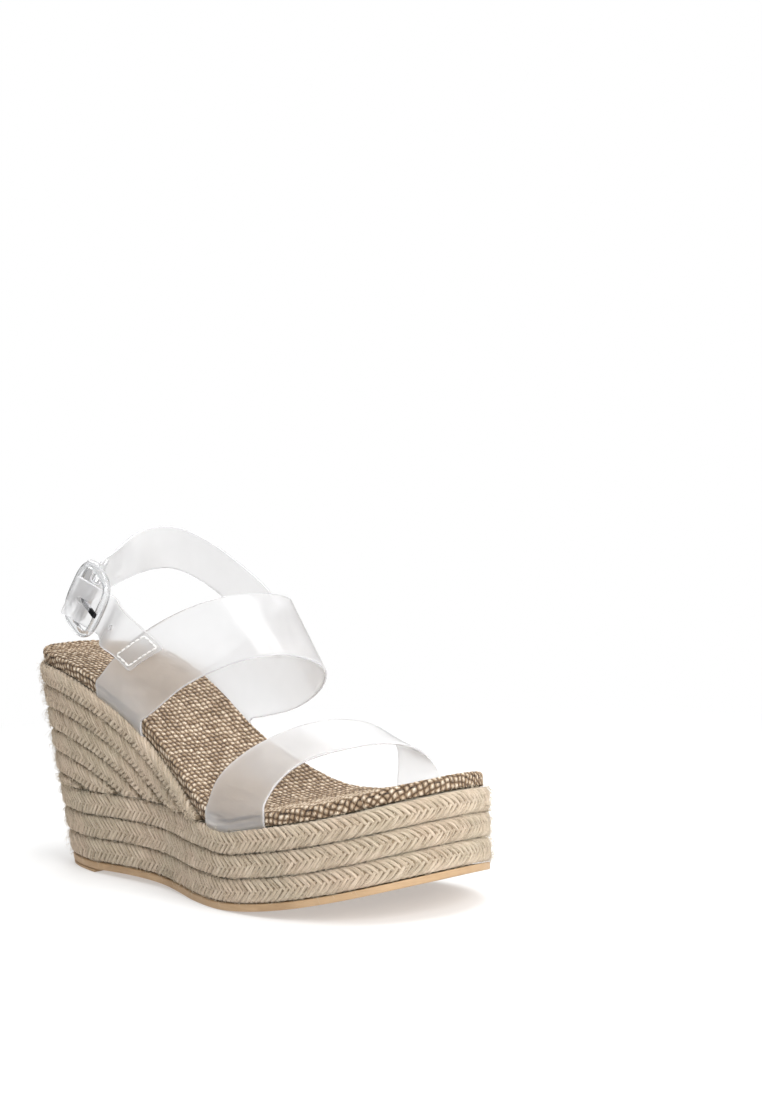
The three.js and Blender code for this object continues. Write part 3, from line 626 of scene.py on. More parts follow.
def braid_legs(low, high, us, run, side, closed):
    """The slanting strands on one side of a plait's middle line, all at once."""
    count = int(round(run[-1] / PITCH))
    pitch = run[-1] / count
    start = (np.arange(count) + (0.25 if side > 0 else 0.75)) * pitch
    w = np.linspace(0, 1, LEG_RINGS)
    half = half_height(np.interp(start, run, us), low, high)[:, None]
    loose = rng.normal(0, 0.06, (count, 1))
    at = start[:, None] + (0.35 - SLANT * w ** 0.9) * half + loose * pitch
    at = at % run[-1] if closed else np.clip(at, 0, run[-1])
    u = np.interp(at, run, us)
    first, last = np.radians(WRAP)
    angle = side * (first + (last - first) * w) * np.ones_like(u)
    place, out = braid_section(u, low, high, angle, 0.0)
    tuck = 0.95 - 0.45 * np.sin(np.pi * np.clip(w * 1.3, 0, 1)) ** 0.6
    tuck = tuck + rng.normal(0, 0.05, (count, 1))
    centres = place - out * tuck[..., None]
    fullness = np.minimum(1, 0.6 + 2.4 * np.minimum(w, 1 - w))
    width = pitch * 0.31 * fullness * (1 + rng.normal(0, 0.08, (count, 1)))
    height = 0.70 * np.sqrt(fullness) * np.minimum(1, half / 2.2)
    rings = tubes(centres, out, width, height, LEG_SIDES)
    turn = np.arange(LEG_SIDES) / LEG_SIDES * 5.2
    seed = rng.uniform(0, 40, (count, 1, 1))
    strand = np.stack(np.broadcast_arrays(
        (w * 7.5)[None, :, None], turn[None, None] + (w * 1.6)[None, :, None], seed), -1)
    return rings, strand


def braid_fuzz(low, high, us, run):
    """Loose fibres that stand out of the yarn."""
    count = int(run[-1] * FUZZ_PER_MM)
    at = rng.uniform(0, run[-1], count)
    u = np.interp(at, run, us)
    angle = rng.uniform(-1.25, 1.45, count)
    root, out = braid_section(u, low, high, angle, -0.1)
    along = np.concatenate([outline_along(u), np.zeros((count, 1))], -1)
    up = np.cross(out, along)
    spin = rng.uniform(0, 2 * np.pi, count)[:, None]
    lie = along * np.cos(spin) + up * np.sin(spin)
    length = np.minimum(rng.gamma(3.0, 1.1, count), FIBRE_LENGTH)[:, None, None]
    lift = np.minimum(rng.gamma(1.6, 0.3, count), FIBRE_LIFT)[:, None, None]
    t = np.linspace(0, 1, FIBRE_RINGS)[None, :, None]
    curl = np.cross(lie, out)[:, None] * rng.normal(0, 0.4, count)[:, None, None]
    centres = (root[:, None] + lie[:, None] * length * t + curl * t ** 2
               + out[:, None] * (lift * np.sin(np.pi * np.minimum(t * 1.1, 1)) + lift * t))
    centres[..., 2] = np.maximum(centres[..., 2], FLOOR_CLEARANCE)
    thin = FIBRE_RADIUS * (1 - 0.6 * t[..., 0]) * np.ones((count, 1))
    side = np.repeat(out[:, None], FIBRE_RINGS, 1)
    return tubes(centres, side, thin, thin, FIBRE_SIDES)


def plait(name, node, low, high, start, end, closed):
    """One braid: its legs on both sides of the middle, its core painted dark as shade between
    them, and its fibres.
    """
    us, run = braid_run(low, high, start, end)
    points, faces, strands = [], [], []
    offset = 0
    for side in (1, -1):
        rings, strand = braid_legs(low, high, us, run, side, closed)
        count = len(rings)
        points.append(rings.reshape(-1, 3))
        strands.append(strand.reshape(-1, 3))
        faces += tube_faces(count, LEG_RINGS, LEG_SIDES, offset)
        offset += count * LEG_RINGS * LEG_SIDES
    stations = 300 if closed else 200
    around = np.linspace(start, end, stations, endpoint=not closed)
    angle = np.linspace(0, 2 * np.pi, CORE_SIDES, endpoint=False)
    u2, a2 = np.meshgrid(around, angle, indexing="ij")
    core, _ = braid_section(u2, low, high, a2, -CORE_DEPTH)
    points.append(core.reshape(-1, 3))
    strands.append(np.stack([x_at(u2), a2, a2 * 0], -1).reshape(-1, 3))
    # The core takes slot 1, its painted shade.
    faces.append((grid_faces(stations, CORE_SIDES, offset, closed, True), 1))
    if not closed:
        faces.append((end_caps(stations, CORE_SIDES) + offset, 1))
    offset += stations * CORE_SIDES
    hairs = braid_fuzz(low, high, us, run)
    points.append(hairs.reshape(-1, 3))
    strands.append(np.broadcast_to(
        rng.uniform(0, 40, (len(hairs), 1, 3)),
        (len(hairs), FIBRE_RINGS * FIBRE_SIDES, 3)).reshape(-1, 3))
    faces += tube_faces(len(hairs), FIBRE_RINGS, FIBRE_SIDES, offset, 2)
    piece = make(name, np.concatenate(points), faces, [JUTE, JUTE_SHADOW, JUTE_FIBRE])
    paint(piece, "strand", np.concatenate(strands))
    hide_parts(node)


def base_line(k):
    def line(u):
        bottom = outsole_top(u) + GAP / 2
        return bottom + (platform_top(u) - bottom) * k / BASE_ROWS
    return line


def fan_line(k):
    def line(u):
        x = x_at(u)
        slope = (ramp_top(x + 4) - ramp_top(x - 4)) / 8
        height = FAN_BRAID * (1 - FAN_TAPER * np.clip(x / BALL_END, 0, 1))
        return top(u) - k * height * np.hypot(1, slope)
    return line


def fan_end(k, sign):
    """How far round from the heel's back a wedge braid is thick enough."""
    u = np.linspace(0, 0.4, 801)
    tall = fan_line(k)(sign * u) - platform_top(sign * u) > FAN_MIN_HEIGHT
    return u[np.argmin(tall)]


for row in range(BASE_ROWS):
    plait(f"plait_base_{row + 1}", f"braid_base_{row + 1}", base_line(row),
          base_line(row + 1), 0.0, 1.0, True)
for row in range(FAN_COUNT):
    plait(f"plait_wedge_{row + 1}", f"braid_wedge_{row + 1}",
          lambda u, k=row: np.maximum(fan_line(k + 1)(u), platform_top(u)),
          fan_line(row), -fan_end(row, -1), fan_end(row, 1), False)

# ---- outsole, heel piece
SOLE_STATIONS = 180
HEEL_STATIONS = 40


def paired_stations(count):
    """Outline stations on the outer side, and the stations straight across from them."""
    outer = U_HEEL + (U_TOE - U_HEEL) * (np.arange(count) + 0.5) / count
    return outer, opposite(outer)


def slab(name, node, profile, outer, inner):
    """A rubber slab. profile lists [offset, height line] from its bottom to its top."""
    ring = np.concatenate([outer, inner[::-1]])
    rows = np.stack([wall(ring, r, line(ring)) for r, line in profile])
    n = len(ring)
    faces = [(grid_faces(len(profile), n, 0, False, True), 0)]
    i = np.arange(n // 2 - 1)
    across = np.stack([i, i + 1, n - 2 - i, n - 1 - i], -1)
    faces += [(across, 0), (across[:, ::-1] + (len(profile) - 1) * n, 0)]
    piece = make(name, rows, faces, [RUBBER])
    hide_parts(node)


def bottom_line(lift):
    return lambda u: sole_bottom(x_at(u)) + lift


slab("crepe_outsole", "outsole", [
    (OUTSOLE_OUT - 0.5, bottom_line(0.0)), (OUTSOLE_OUT - 0.12, bottom_line(0.15)),
    (OUTSOLE_OUT, bottom_line(0.5)), (OUTSOLE_OUT, bottom_line(OUTSOLE - 0.5)),
    (OUTSOLE_OUT - 0.1, bottom_line(OUTSOLE - 0.12)),
    (OUTSOLE_OUT - 0.4, bottom_line(OUTSOLE)),
], *paired_stations(SOLE_STATIONS))


def heel_line(z):
    return lambda u: np.full_like(u, z)


def heel_side(start, sign):
    """Outline stations of one side of the heel piece, from its back to its front edge."""
    u = np.linspace(0, 0.2, 400)
    end = float(np.interp(HEEL_PIECE_END, x_at(start + sign * u), u))
    return start + sign * end * (np.arange(HEEL_STATIONS) + 0.5) / (HEEL_STATIONS - 0.5)


slab("heel_lift", "heel_top_piece", [
    (OUTSOLE_OUT - 0.25, heel_line(0.0)), (OUTSOLE_OUT, heel_line(0.25)),
    (OUTSOLE_OUT, heel_line(HEEL_PIECE - GAP)),
], heel_side(0, 1), heel_side(1, -1))

# ---- woven footbed
WEAVE = 2.55                   # yarn spacing
WEAVE_DEPTH = 0.6
FOOTBED_ROWS = 520
FOOTBED_ACROSS = 150
RIM_ROWS = 14
RIM_ROUND = 1.6                # radius of the rim's upper edge
HEEL_DISH = 0.9                # sag of the cloth under the heel
LINING = 1.2                   # thickness from the cloth to its underside


def footbed():
    """One cloth over the top and down the rim, with every yarn crossing raised. Its
    own flat coordinates run on over the rim, as they do on a wrapped insole."""
    outer, inner = paired_stations(FOOTBED_ROWS)
    # Rim profile, from its foot up and over the edge: [offset, height above the top].
    angle = np.linspace(0, np.pi / 2, 7)
    rise = np.linspace(0.35, RIM - RIM_ROUND, RIM_ROWS - 7)
    rim = [(-RIM_INSET, h) for h in rise] + [
        (-RIM_INSET - RIM_ROUND * (1 - math.cos(a)), RIM - RIM_ROUND * (1 - math.sin(a)))
        for a in angle]
    columns_outer, columns_inner = (
        np.stack([wall(side, r, top(side) + h) for r, h in rim], 1)
        for side in (outer, inner))
    g = np.linspace(0, 1, FOOTBED_ACROSS)[1:-1][None, :, None]
    edge_a, edge_b = columns_outer[:, -1:], columns_inner[:, -1:]
    middle = edge_a + (edge_b - edge_a) * g
    # The cloth is flat from edge to edge, and dished under the heel.
    width = np.linalg.norm(edge_b - edge_a, axis=-1, keepdims=True)
    dish = -HEEL_DISH * smooth((120 - edge_a[..., :1]) / 60)
    middle[..., 2:] += dish * np.sin(np.pi * g) ** 2 * np.minimum(1, width / 40)
    sheet = np.concatenate([columns_outer, middle, columns_inner[:, ::-1]], 1)
    # Flat coordinates: along the ramp, and across it; past the edge they run on
    # outwards by the depth down the rim.
    ramp_x = (edge_a[:, 0, 0] + edge_b[:, 0, 0]) / 2
    order = np.argsort(ramp_x)
    curve = np.stack([ramp_x[order], ramp_top(ramp_x)[order]], -1)
    along = np.interp(ramp_x, curve[:, 0], lengths_of(curve))
    flat = np.zeros(sheet.shape[:2] + (2,))
    flat[:, RIM_ROWS:-RIM_ROWS, 0] = along[:, None]
    flat[:, RIM_ROWS:-RIM_ROWS, 1] = middle[..., 1]
    steps = np.diff(np.array(rim[::-1]), axis=0)
    drop = np.concatenate([[0], np.cumsum(np.hypot(*steps.T))])
    for us, edge, place in ((outer, edge_a, slice(RIM_ROWS - 1, None, -1)),
                            (inner, edge_b, slice(-RIM_ROWS, None))):
        out = outwards(us)[:, None, :2]
        start = np.stack([along, edge[:, 0, 1]], -1)[:, None]
        flat[:, place] = start + out * drop[None, :, None]
    s, t = flat[..., 0] / WEAVE, flat[..., 1] / WEAVE
    s, t = (s + 0.10 * np.sin(t * 1.9 + s * 0.7) + 0.09 * np.sin(t * 0.53 + 1),
            t + 0.12 * np.sin(s * 1.7 - t * 0.6) + 0.09 * np.sin(s * 0.47 + 2))
    cs, ct = np.floor(s), np.floor(t)
    fs, ft = s - cs - 0.5, t - ct - 0.5
    over = (cs + ct) % 2 == 0
    coordinates = np.stack([s, t, 0 * s], -1)
    # Where a yarn is on top it arches along its run, and is round across it.
    run, cross = np.where(over, fs, ft), np.where(over, ft, fs)
    bulge = np.sqrt(np.clip(1 - (cross * 1.75) ** 2, 0, 1))
    height = np.cos(np.pi * run * 0.92) ** 0.8 * bulge
    # A usual hash of the crossing's place makes each one a little different.
    vary = np.sin(cs * 12.9898 + ct * 78.233) * 43758.5453
    vary = vary - np.floor(vary)
    height = height * (0.78 + 0.22 * vary)
    normal = unit(np.cross(np.gradient(sheet, axis=0), np.gradient(sheet, axis=1)))
    normal *= np.sign(normal[:, RIM_ROWS + 5:RIM_ROWS + 6, 2:])
    sheet = sheet + normal * ((height - 0.62) * WEAVE_DEPTH)[..., None]
    # A plain underside closes the piece.
    inside = [wall(side, -RIM_INSET - LINING, top(side) + h)[:, None] for side, h in (
        (inner, 0.45), (inner, RIM - 1.3), (outer, RIM - 1.3), (outer, 0.45))]
    loop = np.concatenate([sheet, *inside], 1)
    faces = tube_faces(1, *loop.shape[:2])
    piece = make("woven_footbed", loop, faces, [WOVEN])
    under = np.repeat(coordinates[:, -1:], len(inside), 1)
    paint(piece, "flat", np.concatenate([coordinates, under], 1))
    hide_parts("footbed_cover")


footbed()

# ---- strap paths
STRAP_ROOT = [(-TAIL, -1.2), (-5, -1.1), (-BEND_START, -1), (-0.75, -0.5),
              (-STRAP_RIM_INSET, 0.6), (-STRAP_RIM_INSET, 3.2)]
ROOT_TOP = (-STRAP_RIM_INSET, 5.8)
STRAP_COLUMNS = 24


def root_point(u, spot):
    r, dz = spot
    return ramp_point(u, max(r, -BEND_START), max(0.0, -r - BEND_START), dz)


def arch_grid(rear, front, steps):
    """Rows of points over an arched strap, each from its rear edge to its front edge."""
    edges = []
    for outer, inner, arch in (rear, front):
        ends = float(u_at_top(outer, -1)), float(u_at_top(inner, 1))
        roots = [root_point(np.array(u), ROOT_TOP) for u in ends]
        edges.append((ends, spaced([roots[0], *arch, roots[1]], steps)))
    (ends_r, r), (ends_f, f) = edges
    g = np.linspace(0, 1, STRAP_COLUMNS)

    def root_row(end, spot):
        return root_point(ends_r[end] + (ends_f[end] - ends_r[end]) * g, spot)

    rows = r[:, None] * (1 - g[:, None]) + f[:, None] * g[:, None]
    for end, point in ((0, r[0]), (1, r[-1])):
        row = root_row(end, ROOT_TOP)
        bow = row - (row[0] * (1 - g[:, None]) + row[-1] * g[:, None])
        fade = 1 - smooth(np.linalg.norm(rows - point, axis=-1) / ROOT_FADE)
        at_end = 1 - smooth(np.linalg.norm(r - point, axis=-1) / ROOT_FADE)
        rows = rows + bow * np.minimum(fade, at_end[:, None])[..., None]
    return np.concatenate([[root_row(0, spot) for spot in STRAP_ROOT], rows,
                           [root_row(1, spot) for spot in STRAP_ROOT[::-1]]])


toe_grid = arch_grid(
    (134, 153.5, [(138.7, -40.7, 51.4), (141.6, -29.1, 60.1), (145.5, -14.6, 66),
                  (148.4, 1, 68.9), (151.3, 14.6, 68.9), (155.2, 29.1, 65),
                  (156.4, 40.2, 56)]),
    (170.7, 176.5, [(168.8, -43.2, 43.9), (167.8, -34.9, 51.4), (166.8, -21.3, 57.2),
                    (167.8, 2.9, 60.1), (169.8, 26.2, 59.2), (171.7, 39.8, 54.3),
                    (174, 46.6, 46.6)]), 30)
instep_grid = arch_grid(
    (47.8, 50.8, [(60.5, -28.8, 92.5), (74.4, -25.9, 102.9), (93.3, -17.6, 113.5),
                  (107.2, -6.2, 118.7), (113, 13.1, 118.2), (108.9, 27.6, 113.7),
                  (95.6, 31, 106.5), (77.2, 30.6, 94.9)]),
    (77.7, 85.2, [(89, -29.6, 74), (102.8, -26.5, 83.6), (123.2, -16.9, 93.4),
                  (135.8, -3.5, 96.2), (139.7, 10.6, 92.5), (134.7, 22.6, 86.1),
                  (122.6, 29.2, 76.5), (105.6, 29.8, 67.9)]), 36)


def grid_normals(grid):
    return unit(np.cross(np.gradient(grid, axis=1), np.gradient(grid, axis=0)))


def resample(grid, spacing, fine_start=False, fine_end=False):
    """The same strap with evenly spaced rows, closer together at its free ends."""
    dense = catmull(grid, np.linspace(0, 1, 40 * len(grid)))
    run = lengths_of(dense[:, dense.shape[1] // 2])
    fine = np.array([0, 0.06, 0.2, 0.45, 0.8, 1.3, 2.0])
    body = np.linspace(3.0 if fine_start else 0.0, run[-1] - (3.0 if fine_end else 0.0),
                       int(run[-1] / spacing))
    at = np.concatenate([fine if fine_start else [], body,
                         (run[-1] - fine[::-1]) if fine_end else []])
    i = np.clip(np.searchsorted(run, at) - 1, 0, len(run) - 2)
    w = ((at - run[i]) / (run[i + 1] - run[i]))[:, None, None]
    return dense[i] * (1 - w) + dense[i + 1] * w, at


def lay_on_instep(grid, length, ease):
    """Lays the first `length` of a strap on the instep strap and eases it off."""
    base, _ = resample(instep_grid, 1.2)
    normals = grid_normals(base).reshape(-1, 3)
    base = base.reshape(-1, 3)
    lift = VINYL + GAP
    run = lengths_of(grid[:, grid.shape[1] // 2])
    hold = 1 - smooth((run - length) / ease)
    laid = grid.copy()
    for i in np.flatnonzero(hold > 0):
        for j in range(grid.shape[1]):
            near = np.argmin(np.sum((base - grid[i, j]) ** 2, -1))
            height = np.dot(grid[i, j] - base[near], normals[near])
            laid[i, j] += normals[near] * (lift - height) * hold[i]
    return laid


backward = unit([-0.82, 0.12, 0.56])
buckle_out = np.array([-0.064, -0.987, 0.119])
buckle_out = unit(buckle_out - backward * np.dot(buckle_out, backward))
buckle_up = np.cross(backward, buckle_out)
BUCKLE = np.stack([-backward, buckle_up, buckle_out])


def from_buckle(x, y, z):
    """Point in the buckle's own axes: forward, up along the bar, and outward."""
    return BAR + np.stack(np.broadcast_arrays(x, y, z), -1) @ BUCKLE


PASS_ANGLE = math.radians(37)
PASS_RADIUS = 3.5
STRAP_TIP = 7.2


PASS_COS, PASS_SIN = math.cos(PASS_ANGLE), math.sin(PASS_ANGLE)


def pass_point(t):
    """Point of the front strap's path where it passes over the bar, t along it."""
    return PASS_RADIUS * PASS_SIN - t * PASS_COS, PASS_RADIUS * PASS_COS + t * PASS_SIN


def front_grid():
    path = [(46.5, -2.2), (38, -1.5), (28, -1.9), (20.5, -3), (14.5, -4.2)] + [
        pass_point(t) for t in (-11, -7.5, -3, 0, 3, STRAP_TIP)]
    points = spaced([(x, 0, z) for x, z in path], 60)
    f = np.linspace(-0.5, 0.5, STRAP_COLUMNS)[None]
    skew = 2 * 4.5 * f * np.clip((34 - np.arange(61)) / 19, 0, 1)[:, None]
    x, z = points[:, :1], points[:, 2:]
    centre = -0.2 + 4.8 * smooth((x - 8) / 38)
    return lay_on_instep(from_buckle(x + skew, centre + ANKLE_WIDTH * f, z), 19, 19)


REAR_RUN = [
    ((23.6, -10.6, 121.2), (0.43, 0.29, 0.85)), ((17.2, -0.3, 122.4), (0.48, 0.05, 0.87)),
    ((13.9, 10.6, 125), (0.47, -0.18, 0.86)), ((13.8, 20.5, 128.9), (0.34, -0.4, 0.85)),
    ((18.3, 28.1, 132.1), (0.12, -0.33, 0.93)), ((28.4, 32.6, 132.5), (0.17, -0.14, 0.97)),
    ((42.9, 34.8, 128.5), (0.36, -0.08, 0.93)), ((60.5, 35.5, 120.6), (0.46, -0.07, 0.89)),
    ((80.5, 35.4, 109.3), (0.52, -0.02, 0.85)), ((100.5, 34.2, 96), (0.58, 0.03, 0.81))]


def rear_grid():
    """From under the bar, round it, and round the heel to the instep strap."""
    radius = PRONG_EYE + VINYL / 2
    angles = np.radians(np.linspace(-90, 90, 7))
    fold = [(radius * math.cos(a), radius * math.sin(a)) for a in angles]
    fold += [(-2.2, 1.15), (-4.6, -0.9), (-7, -2.75), (-10.6, -3.75), (-13.5, -3.9)]
    stations = [(from_buckle(x, 0, z), buckle_up) for x, z in fold]
    stations += [(np.array(c, float), unit(d)) for c, d in REAR_RUN]
    last = len(stations) - 1
    fine = np.concatenate([np.linspace(0, len(fold) - 3, 40)[:-1],
                           np.linspace(len(fold) - 3, last, 120)]) / last
    centres = catmull([c for c, _ in stations], fine)
    ups = catmull([d for _, d in stations], fine)
    along = unit(np.gradient(centres, axis=0))
    side = unit(ups - along * np.sum(ups * along, -1, keepdims=True)) * ANKLE_WIDTH / 2
    f = np.linspace(-1, 1, STRAP_COLUMNS)[None, :, None]
    return centres[:, None] + side[:, None] * f


# ---- strap solids
EDGE_ROUND = 0.42
PRONG_SLOT = (2.9, 6.1)        # width and length of the front strap's slot
SPARE_HOLE = 2.6
SPARE_HOLE_AT = 26.0           # from the strap's instep end


def round_corners(grid, at, radius, start, end):
    """Draws the rows in towards a free end, so that its corners are rounded."""
    shaped = grid.copy()
    middle = grid.mean(1, keepdims=True)
    for wanted, gap in ((start, at), (end, at[-1] - at)):
        if wanted:
            gap = np.clip(gap, 0, radius)
            inset = radius - np.sqrt(radius ** 2 - (radius - gap) ** 2)
            half = np.linalg.norm(grid[:, -1] - grid[:, 0], axis=-1) / 2
            shaped = middle + (shaped - middle) * (1 - inset / half)[:, None, None]
    return shaped


def strap(name, node, grid, at, start=False, end=False, radius=2.4):
    """A sheet of vinyl with rounded edges along the grid."""
    grid = round_corners(grid, at, radius, start, end)
    normals = grid_normals(grid)
    across = unit(grid[:, -1] - grid[:, 0])
    half = VINYL / 2
    face = grid.copy()
    face[:, 0] += across * EDGE_ROUND
    face[:, -1] -= across * EDGE_ROUND
    angles = np.radians([52, 20, -20, -52])

    def edge(column, sign):
        return np.stack([
            grid[:, column] + sign * across * EDGE_ROUND * (math.cos(a) - 1)
            + normals[:, column] * half * math.sin(a) for a in angles], 1)

    loop = np.concatenate([
        face + normals * half, edge(-1, 1), (face - normals * half)[:, ::-1],
        edge(0, -1)[:, ::-1]], 1)
    rows, n = loop.shape[:2]
    c = grid.shape[1]
    sides = grid_faces(rows, n, 0, False, True)
    column = np.tile(np.arange(n), rows - 1)
    rim = ((column >= c - 1) & (column < c + 4)) | (column >= 2 * c + 3)
    top_row = np.arange(c - 1)
    low_row = 2 * c + 3 - np.arange(c)
    cap = np.stack([top_row, top_row + 1, low_row[1:], low_row[:-1]], -1)
    left = np.array([[0, low_row[0], *range(2 * c + 4, n)]])
    right = np.array([[c - 1, *range(c, c + 4), low_row[-1]]])
    shift = (rows - 1) * n
    faces = [(sides[~rim], 0), (sides[rim], 1)]
    faces += [(part[:, ::-1], 1) for part in (cap, left, right)]
    faces += [(part + shift, 1) for part in (cap, left, right)]
    piece = make(name, loop, faces, [CLEAR, CLEAR_EDGE])
    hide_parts(node)
    return piece


def apply_modifiers(piece):
    bpy.context.view_layer.update()
    shaped = piece.evaluated_get(bpy.context.evaluated_depsgraph_get())
    done = bpy.data.meshes.new_from_object(shaped)
    piece.modifiers.clear()
    piece.data = done


def carve(piece, points, sides, operation="DIFFERENCE"):
    """Cuts a closed prism, given by its two ends, out of a piece, or joins it to it."""
    tool = make("tool", points, tube_faces(1, 2, sides), [])
    change = piece.modifiers.new("carve", "BOOLEAN")
    change.operation = operation
    change.solver = "EXACT"
    change.object = tool
    apply_modifiers(piece)
    bpy.data.objects.remove(tool)


HOLE_SIDES = 28
HOLE_REACH = 2.2               # of the cutting tool, each way from the strap's middle


def hole(piece, centre, direction, normal, width, length):
    """A hole with round ends, or a round one where its length is its width."""
    across = unit(np.cross(normal, direction))
    along = unit(np.cross(across, normal))
    angle = 2 * np.pi * (np.arange(HOLE_SIDES) + 0.5) / HOLE_SIDES
    shift = np.where(np.cos(angle) > 0, 1, -1) * (length - width) / 2
    flat = (centre + along * (width / 2 * np.cos(angle) + shift)[:, None]
            + across * (width / 2 * np.sin(angle))[:, None])
    points = np.stack([flat + normal * d for d in (-HOLE_REACH, HOLE_REACH)])
    carve(piece, points, HOLE_SIDES)


strap("clear_toe_strap", "toe_strap", *resample(toe_grid, 1.5))
strap("clear_instep_strap", "instep_strap", *resample(instep_grid, 1.5))

front_fine, front_at = resample(front_grid(), 1.0, True, True)
front_piece = strap("clear_ankle_strap_front", "ankle_strap_front", front_fine, front_at,
                    True, True, 1.0)
px, pz = pass_point(0.45)
hole(front_piece, from_buckle(px, 0, pz), from_buckle(-PASS_COS, 0, PASS_SIN) - BAR,
     from_buckle(PASS_SIN, 0, PASS_COS) - BAR, *PRONG_SLOT)


def on_strap(grid, at, along, f):
    """Points and normals on a strap, at lengths along it and fractions across."""
    normals = grid_normals(grid)
    along, f = np.broadcast_arrays(np.asarray(along, float), np.asarray(f, float))
    i = np.clip(np.searchsorted(at, along) - 1, 0, len(at) - 2)
    w = ((along - at[i]) / (at[i + 1] - at[i]))[:, None]
    g = f * (grid.shape[1] - 1)
    j = np.minimum(g.astype(int), grid.shape[1] - 2)
    v = (g - j)[:, None]

    def blend(table):
        low = table[i, j] * (1 - v) + table[i, j + 1] * v
        high = table[i + 1, j] * (1 - v) + table[i + 1, j + 1] * v
        return low * (1 - w) + high * w

    return blend(grid), unit(blend(normals))


spare, spare_normal = on_strap(front_fine, front_at, [SPARE_HOLE_AT], [0.5])
hole(front_piece, spare[0], from_buckle(1, 0, 0) - BAR, spare_normal[0],
     SPARE_HOLE, SPARE_HOLE)

FLAP_GAP = VINYL + GAP + 0.1
FLAP_START = 9.2               # from the strap's end under the bar to the doubled part
FLAP_LENGTH = 34.5
FOLD_STITCH = 140.2            # from the strap's instep end to the fold's stitches


def rear_strap():
    """The rear strap, with its end turned round the bar and doubled behind it."""
    run = lay_on_instep(rear_grid()[::-1], 13, 14)[::-1]
    run, at = resample(run, 1.0, False, True)
    doubled = slice(*np.searchsorted(at, (FLAP_START, FLAP_START + FLAP_LENGTH)))
    flap = (run[doubled] - grid_normals(run)[doubled] * FLAP_GAP)[::-1]
    return resample(np.concatenate([flap, run]), 1.0, True, True)


rear_fine, rear_at = rear_strap()
rear_piece = strap("clear_ankle_strap_rear", "ankle_strap_rear", rear_fine, rear_at,
                   True, True, 1.0)
corners = np.array([(x, y, z) for z in (-4.0, 4.0) for x, y in (
    (-3.1, -1.7), (3.9, -1.7), (3.9, 1.7), (-3.1, 1.7))])
carve(rear_piece, from_buckle(*corners.T), 4)

# ---- stitching
STITCH = 2.7                   # length of one stitch
STITCH_RINGS = 7
STITCH_SIDES = 8
STITCH_DIP = 0.15              # of a stitch's ends below the strap's face
STITCH_ARCH = 0.42             # rise of a stitch's middle over its ends


def stitches(name, node, grid, at, corners):
    """Rows of lockstitch round a closed run of corners: [along, fraction across]."""
    spots, normals = [], []
    for (a0, f0), (a1, f1) in zip(corners, corners[1:] + corners[:1]):
        dense = np.linspace(0, 1, 60)
        place, out = on_strap(grid, at, a0 + (a1 - a0) * dense, f0 + (f1 - f0) * dense)
        run = lengths_of(place)
        number = max(1, int(round(run[-1] / STITCH)))
        step = run[-1] / number
        w = np.linspace(0.06, 0.94, STITCH_RINGS)
        along = (np.arange(number)[:, None] + w[None]) * step
        pick = [np.stack([np.interp(along, run, v[:, c]) for c in range(3)], -1)
                for v in (place, out)]
        spots.append(pick[0])
        normals.append(unit(pick[1]))
    centres, out = np.concatenate(spots), np.concatenate(normals)
    arch = np.sin(np.pi * np.linspace(0, 1, STITCH_RINGS))[None]
    height = VINYL / 2 - STITCH_DIP + STITCH_ARCH * arch
    centres = centres + out * (height * np.ones((len(centres), 1)))[..., None]
    full = THREAD * (0.7 + 0.5 * arch) * np.ones((len(centres), 1))
    rings = tubes(centres, out, full, full, STITCH_SIDES)
    faces = tube_faces(len(centres), STITCH_RINGS, STITCH_SIDES)
    piece = make(name, rings, faces, [THREAD_WHITE])
    turn = np.arange(STITCH_SIDES) / STITCH_SIDES * 2.2
    strand = np.stack(np.broadcast_arrays(
        np.linspace(0, STITCH, STITCH_RINGS)[None, :, None], turn[None, None],
        np.zeros((len(centres), 1, 1))), -1)
    paint(piece, "strand", strand.reshape(-1, 3))
    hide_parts(node)


BOX = [(1.8, 0.1), (10.5, 0.1), (10.5, 0.9), (1.8, 0.9)]
stitches("thread_box_lateral", "box_stitch_lateral", front_fine, front_at, BOX)
reverse_at = rear_at[-1] - rear_at[::-1]
stitches("thread_box_medial", "box_stitch_medial", rear_fine[::-1, ::-1], reverse_at, BOX)
fold_at = rear_at[-1] - FOLD_STITCH
stitches("thread_fold", "fold_stitch", rear_fine, rear_at, [
    (fold_at, 0.12), (fold_at + 2.5, 0.12), (fold_at + 2.5, 0.88), (fold_at, 0.88)])


# ---- buckle
BAR_SIDES = 24


def rounded(angle, a, b, squareness):
    return a * squared(np.cos(angle), squareness), b * squared(np.sin(angle), squareness)


def buckle_frame():
    """The rounded frame and its centre bar, as one moulding."""
    steps, sides = 120, 16
    angle = 2 * np.pi * np.arange(steps) / steps
    ox, oy = rounded(angle, *FRAME_HALF, 2.8)
    ix, iy = rounded(angle, FRAME_HALF[0] - FRAME_RAIL, FRAME_HALF[1] - FRAME_RAIL, 5)
    f, z = rounded(np.pi + 2 * np.pi * np.arange(sides) / sides, 0.5, FRAME_HALF_THICK, 2.9)
    f = (f + 0.5)[None]
    x = ox[:, None] * (1 - f) + ix[:, None] * f
    y = oy[:, None] * (1 - f) + iy[:, None] * f
    points = from_buckle(x, y, z[None])
    piece = make("clear_buckle", points, [(grid_faces(steps, sides, 0, True, True), 0)],
                 [RESIN], "buckle")
    turn = 2 * np.pi * np.arange(BAR_SIDES) / BAR_SIDES
    reach = FRAME_HALF[1] - FRAME_RAIL / 2
    ends = np.array([-reach, reach])
    bar = from_buckle(BAR_RADIUS * np.cos(turn)[None], ends[:, None],
                      BAR_RADIUS * np.sin(turn)[None])
    carve(piece, bar, BAR_SIDES, "UNION")
    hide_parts("buckle_frame")


